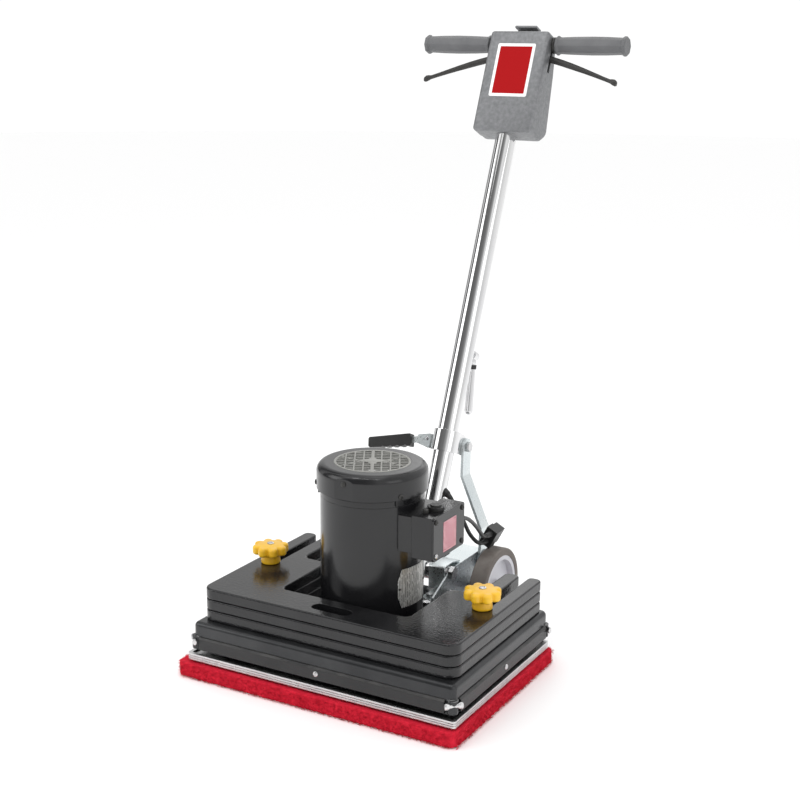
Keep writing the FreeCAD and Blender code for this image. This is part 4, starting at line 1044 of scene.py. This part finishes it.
housing = rear_casting()
tab = soft_block("tab", (-22, 6.6, 988), (22, 12.4, 1009.6), 1.2)
lip = soft_block("lip", (-22, -8.6, 1005), (22, 12.4, 1009.8), 1.5)
brace = soft_block("brace", (-6.5, 19.4, 786), (6.5, 27, 801), 1.2)
for extra in (tab, lip, brace):
    moved(extra, ON_HANDLE)
housing = join([housing, tab, lip, brace], "control_box_housing")
complete(housing, "box_casting", "handle", smooth=35)
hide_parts("control_housing")

# %% [markdown]
# ## Grips
# Each grip is a moulded sleeve with eight flats, a little fuller in the middle and flared at both
# ends, so it is turned with eight sides and its long edges are softened.

# %% Grips
GRIP_RINGS = ((15.5, 66), (17.4, 66.5), (17.8, 68.5), (17.4, 71), (15.4, 73), (15.2, 76), (16.2, 100),
              (16.8, 135), (16.4, 165), (15.4, 190), (15.6, 193), (17.6, 195), (18.0, 198), (17.4, 201),
              (15.8, 202), (12.0, 201.4), (3.0, 201.4))


def hand_grip():
    """One grip along Z, with softened long edges."""
    grip = turned("hand_grip", GRIP_RINGS, 8)
    moved(grip, plan_turn(22.5))
    modify(grip, "BEVEL", width=1.6 * MM, segments=3, limit_method="ANGLE", angle_limit=math.radians(28))
    return grip


grip = hand_grip()
neck = turned("neck", ((12.9, 59.5), (14.4, 59.5), (14.8, 60.2), (14.8, 63.6), (14.2, 64.4), (12.9, 64.4)), 40)
for placing, label in ((TO_RIGHT, "right"), (TO_LEFT, "left")):
    place = ON_HANDLE @ at(0, 0, 974.7) @ placing
    sleeve = twin(grip, "hand_grip_" + label, place)
    complete(sleeve, "grip_vinyl", "handle", smooth=32)
    ring = twin(neck, "grip_ring_" + label, place)
    complete(ring, "lever_black", "handle")
    if label == "right":
        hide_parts("hand_grips")
discard(grip, neck)

# %% [markdown]
# ## Rivets and screws
# Small bright heads catch the light and give the machine its scale. The bumpers are held by hollow
# rivets with a rolled rim; the covers have black pan heads with a cross recess, and one screw of the
# wiring box is a bright replacement.

# %% Rivets
rivet = turned("rivet", ((4.7, -0.2), (4.8, 0.4), (4.4, 1.1), (3.4, 1.8), (2.4, 2.0), (1.7, 1.7), (1.4, 0.9),
                         (0.5, 0.8)), 36)
SKIRT_FACES = ((0, -176.5, TO_FRONT), (0, 178.5, TO_REAR), (-249.5, 1, TO_LEFT), (249.5, 1, TO_RIGHT))
rivets = [twin(rivet, "bumper_rivet_heads", at(x, y, 59) @ placing) for x, y, placing in SKIRT_FACES]
discard(rivet)
rivets = complete(join(rivets, "bumper_rivet_heads"), "rivet_steel", "base", smooth=50)
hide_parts("bumper_rivets")


# %% Screws
def pan_head():
    """A pan head along Z with a cross recess."""
    head = turned("screw", ((4.2, -0.2), (4.5, 0.3), (4.4, 1.2), (3.9, 2.1), (2.8, 2.7), (1.2, 3.0)), 32)
    arms = [block("arm", (-2.4, -0.45, 1.8), (2.4, 0.45, 4)), block("arm", (-0.45, -2.4, 1.8), (0.45, 2.4, 4))]
    return cut_away(head, arms)


FAN_COVER_SIDE = 91.8
WIRING_BOX_SIDE = 140.5
REPLACED_SCREW = (-40, 239)
screw = pan_head()
bright, dark = [], []
for degrees in (-30, -150, 90):
    dark.append(twin(screw, "cover_screws", plan_turn(degrees) @ at(FAN_COVER_SIDE, 0, 330) @ TO_RIGHT))
for y in (-40, 50):
    for z in (239, 296):
        target = bright if (y, z) == REPLACED_SCREW else dark
        target.append(twin(screw, "cover_screws", at(WIRING_BOX_SIDE, y, z) @ TO_RIGHT))
dark.append(twin(screw, "cover_screws", at(0, -90.4, 350) @ TO_FRONT))
discard(screw)
dark = join(dark, "cover_screws_black")
complete(dark, "lever_black", "base", smooth=40)
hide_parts("case_screws")
complete(join(bright, "cover_screw_bright"), "rivet_steel", "base", smooth=40)

# %% [markdown]
# ## Rating plate
# The plate is thin foil bent round the motor, with its corners cut so that they don't lift, and two
# drive screws. A thin pipe gives the bend, and a block with cut corners takes the plate out of it.

# %% Curved foil and its drive screws
MOTOR_RADIUS = 86.0
FOIL = 1.0
PLATE_TURN = -6.5
PLATE_MIDDLE = 171.0
PLATE_HALF = 35.6
PLATE_RISE = 33.0
SCREW_SWING = 22.2
CORNER_DROP = 20.0
CORNER_CUT = 7.0


def rating_foil():
    """A sector of a thin pipe, seen as a rectangle with its four corners cut."""
    foil = turned("rating_foil", ((MOTOR_RADIUS + FOIL, -PLATE_RISE), (MOTOR_RADIUS + FOIL, PLATE_RISE)), 160)
    core = turned("core", ((MOTOR_RADIUS, -40), (MOTOR_RADIUS, 40)), 160)
    squat = CORNER_CUT / CORNER_DROP * PLATE_RISE
    outline = block("outline", (60, -PLATE_HALF, -squat), (100, PLATE_HALF, squat))
    round_edges(outline, lambda a, b: abs(a.x - b.x) > 1e-6, CORNER_CUT)
    moved(outline, Matrix.Diagonal((1, 1, CORNER_DROP / CORNER_CUT, 1)))
    modify(foil, "BOOLEAN", operation="INTERSECT", object=outline, solver="EXACT")
    discard(outline)
    return cut_away(foil, [core])


plate_place = at(0, 0, PLATE_MIDDLE) @ plan_turn(PLATE_TURN)
foil = complete(moved(rating_foil(), plate_place), "plate_aluminium", "base", smooth=30)
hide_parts("motor_nameplate")
drive = turned("drive_screw", ((2.0, -0.6), (2.1, 0.6), (1.6, 1.4), (0.6, 1.7)), 24)
drives = []
for swing in (-SCREW_SWING, SCREW_SWING):
    spot = plate_place @ plan_turn(swing) @ at(MOTOR_RADIUS + FOIL, 0, 0)
    drives.append(twin(drive, "plate_screws", spot @ TO_RIGHT))
discard(drive)
complete(join(drives, "plate_screws"), "lever_black", "base", smooth=50)

# %% [markdown]
# ## Clamp bracket
# The collar's bracket for the clamp lever is folded zinc sheet, unlike the polished sleeve, so a
# bright cheek with rounded corners covers its front and carries the head of the lever's pin.

# %% Bracket cheek
cheek = block("clamp_cheek", (-51, -14.0, 209.6), (-23.6, -12.1, 237))
pick(cheek, "VERT", lambda co: co.x < -50 * MM)
bpy.ops.transform.resize(value=(1, 1, 0.56), center_override=(0, 0, 224.6 * MM))
leave()
round_edges(cheek, lambda a, b: abs(a.y - b.y) > 1e-6, 3, 4)
pin_head = turned("pin_head", ((3.4, -0.2), (3.6, 0.4), (3.2, 1.3), (1.6, 1.8)), 28)
moved(pin_head, at(-31, -13.9, 227) @ TO_FRONT)
complete(moved(cheek, ON_HANDLE), "galvanised", "collar", smooth=40)
complete(moved(pin_head, ON_HANDLE), "bearing_steel", "collar", smooth=50)

# %% [markdown]
# ## Wiring box details
# The wiring label, and on top of the box a round blanking plug and a small rubber stop.

# %% Wiring box details
label = block("wiring_label", (140.4, -15, 238), (140.9, 29, 289))
round_edges(label, lambda a, b: abs(a.x - b.x) > 1e-6, 2, 3)
complete(label, "label_red", "base", material=WIRING_LABEL)
plug = turned("box_plug", ((13.8, 302.9), (14.2, 303.6), (14.2, 306.4), (13.4, 307.4), (10.8, 307.6),
                           (10.2, 306.6), (9.6, 306.4), (2, 306.2)), 48)
complete(moved(plug, at(115, 6, 0)), "cap_plastic", "base")
stop = turned("box_stop", ((4.4, 302.9), (4.6, 303.8), (4.6, 308), (4.0, 309), (1, 309.2)), 24)
complete(moved(stop, at(113, -24, 0)), "lever_black", "base")

# %% [markdown]
# ## Levers
# The levers are castings that swell past the pivot, taper along their length and end in a small
# flare so that a finger doesn't slip off. A section is swept from the pivot outwards: it is
# extruded step by step, and each step is moved and resized.


# %% A swept piece
def swept(name, stations, sides=8):
    """A bar along Z; each station is (height, shift along X, half width, half depth)."""
    deselect()
    height, shift, wide, deep = stations[0]
    bpy.ops.mesh.primitive_circle_add(vertices=sides, radius=MM, fill_type="NGON",
                                      rotation=(0, 0, math.pi / sides), location=(shift * MM, 0, height * MM))
    obj = settle(name)
    pick(obj, "FACE", lambda centre, normal: True)
    bpy.ops.transform.resize(value=(wide, deep, 1), center_override=(shift * MM, 0, height * MM))
    for station in stations[1:]:
        up, over, wider, deeper = station
        move = ((over - shift) * MM, 0, (up - height) * MM)
        bpy.ops.mesh.extrude_region_move(TRANSFORM_OT_translate={"value": move})
        ratios = (wider / wide, deeper / deep, 1)
        bpy.ops.transform.resize(value=ratios, center_override=(over * MM, 0, up * MM))
        height, shift, wide, deep = station
    leave()
    return face_out(obj)


# %% Levers
LEVER_LINE = ((28, 953, 5.0, 4.2), (36, 953.5, 8.0, 4.7), (48, 951, 7.6, 4.8), (64, 946.5, 6.4, 4.8),
              (84, 941, 6.3, 4.7), (104, 935, 6.0, 4.6), (126, 928, 5.2, 4.4), (148, 920.5, 4.4, 4.2),
              (168, 913.5, 3.8, 4.0), (181, 909, 3.8, 4.0), (186, 907.5, 5.6, 4.6), (191, 906, 6.2, 4.8),
              (194, 905, 4.4, 3.6))


def hand_lever():
    """The right lever in the handle's frame, with the hole for its pin."""
    bar = swept("hand_lever", [(x, -z, high, deep) for x, z, high, deep in LEVER_LINE])
    moved(bar, TO_RIGHT)
    pin_hole = moved(turned("pin_hole", ((3.2, -20), (3.2, 20)), 32), at(40, 0, 953) @ TO_FRONT)
    return cut_away(bar, [pin_hole])


lever = hand_lever()
for degrees, label in ((0, "right"), (180, "left")):
    placed = twin(lever, "hand_lever_" + label, ON_HANDLE @ plan_turn(degrees))
    complete(placed, "lever_black", "trigger_" + label, smooth=50)
    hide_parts("trigger_" + label)
discard(lever)

# %% [markdown]
# ## Corner clips and yoke sheet
# Where two bumper strips meet, a cast clip shaped like a dog bone links them round the corner. In
# front of the yoke, a folded sheet on each side of the tube covers the pivot sleeve. A fold is made
# as on a press brake: one panel, then its free edge is extruded along each next panel, and the
# sheet gets its thickness last.


# %% Corner clips
def corner_clip():
    """A dog bone along X, seen from the front, with a bolt end at each side."""
    bone = swept("clip", ((-15, 0, 4.2, 2.6), (-13, 0, 5.6, 3.2), (-9.5, 0, 5.6, 3.2), (-6, 0, 3.0, 2.4),
                          (6, 0, 3.0, 2.4), (9.5, 0, 5.6, 3.2), (13, 0, 5.6, 3.2), (15, 0, 4.2, 2.6)), 16)
    return moved(bone, TO_RIGHT)


clip = corner_clip()
clips = []
for x, y, degrees in ((244.2, -171.2, 45), (-244.2, -171.2, -45), (244.2, 173.2, 135), (-244.2, 173.2, -135)):
    clips.append(twin(clip, "corner_clips", at(x, y, 62) @ plan_turn(degrees)))
discard(clip)
complete(join(clips, "corner_clips"), "aluminium", "base", smooth=50)


# %% Folded sheet over the pivot
def folded(name, x0, x1, path, wall):
    """A sheet from x0 to x1, folded along a (y, z) path."""
    (y0, z0), (y1, z1) = path[:2]
    run = math.hypot(y1 - y0, z1 - z0)
    middle = ((x0 + x1) / 2 * MM, (y0 + y1) / 2 * MM, (z0 + z1) / 2 * MM)
    deselect()
    bpy.ops.mesh.primitive_plane_add(size=1, location=middle, rotation=(math.atan2(z1 - z0, y1 - y0), 0, 0))
    sheet = bpy.context.object
    sheet.scale = ((x1 - x0) * MM, run * MM, 1)
    sheet = settle(name)
    for (ya, za), (yb, zb) in zip(path[1:], path[2:]):
        fold = Vector((0, ya * MM, za * MM))
        pick(sheet, "EDGE", lambda a, b: (a.yz - fold.yz).length < 1e-5 and (b.yz - fold.yz).length < 1e-5)
        bpy.ops.mesh.extrude_region_move(TRANSFORM_OT_translate={"value": (0, (yb - ya) * MM, (zb - za) * MM)})
        leave()
    modify(face_out(sheet), "SOLIDIFY", thickness=wall * MM, offset=0)
    modify(sheet, "BEVEL", width=0.8 * MM, segments=2, limit_method="ANGLE", angle_limit=math.radians(40))
    return face_out(sheet)


SHEET_PATH = ((154, 98.5), (154, 138), (156.5, 140.6), (183, 140.6), (212, 134.6))
SHEET_WALL = 2.4
sheets = [folded("yoke_sheet", low, high, SHEET_PATH, SHEET_WALL) for low, high in ((24.6, 56.4), (-56.4, -24.6))]
complete(join(sheets, "yoke_sheet"), "galvanised", "base", smooth=30)

# %% Hook band
lean = Matrix.Rotation(math.radians(13.6), 4, "X")
band = turned("hook_band", ((7.0, -4), (7.4, -3.4), (7.4, 3.4), (7.0, 4)), 40)
complete(moved(band, ON_HANDLE @ at(0, 48, 375) @ lean), "fan_plastic", "cord_hook")
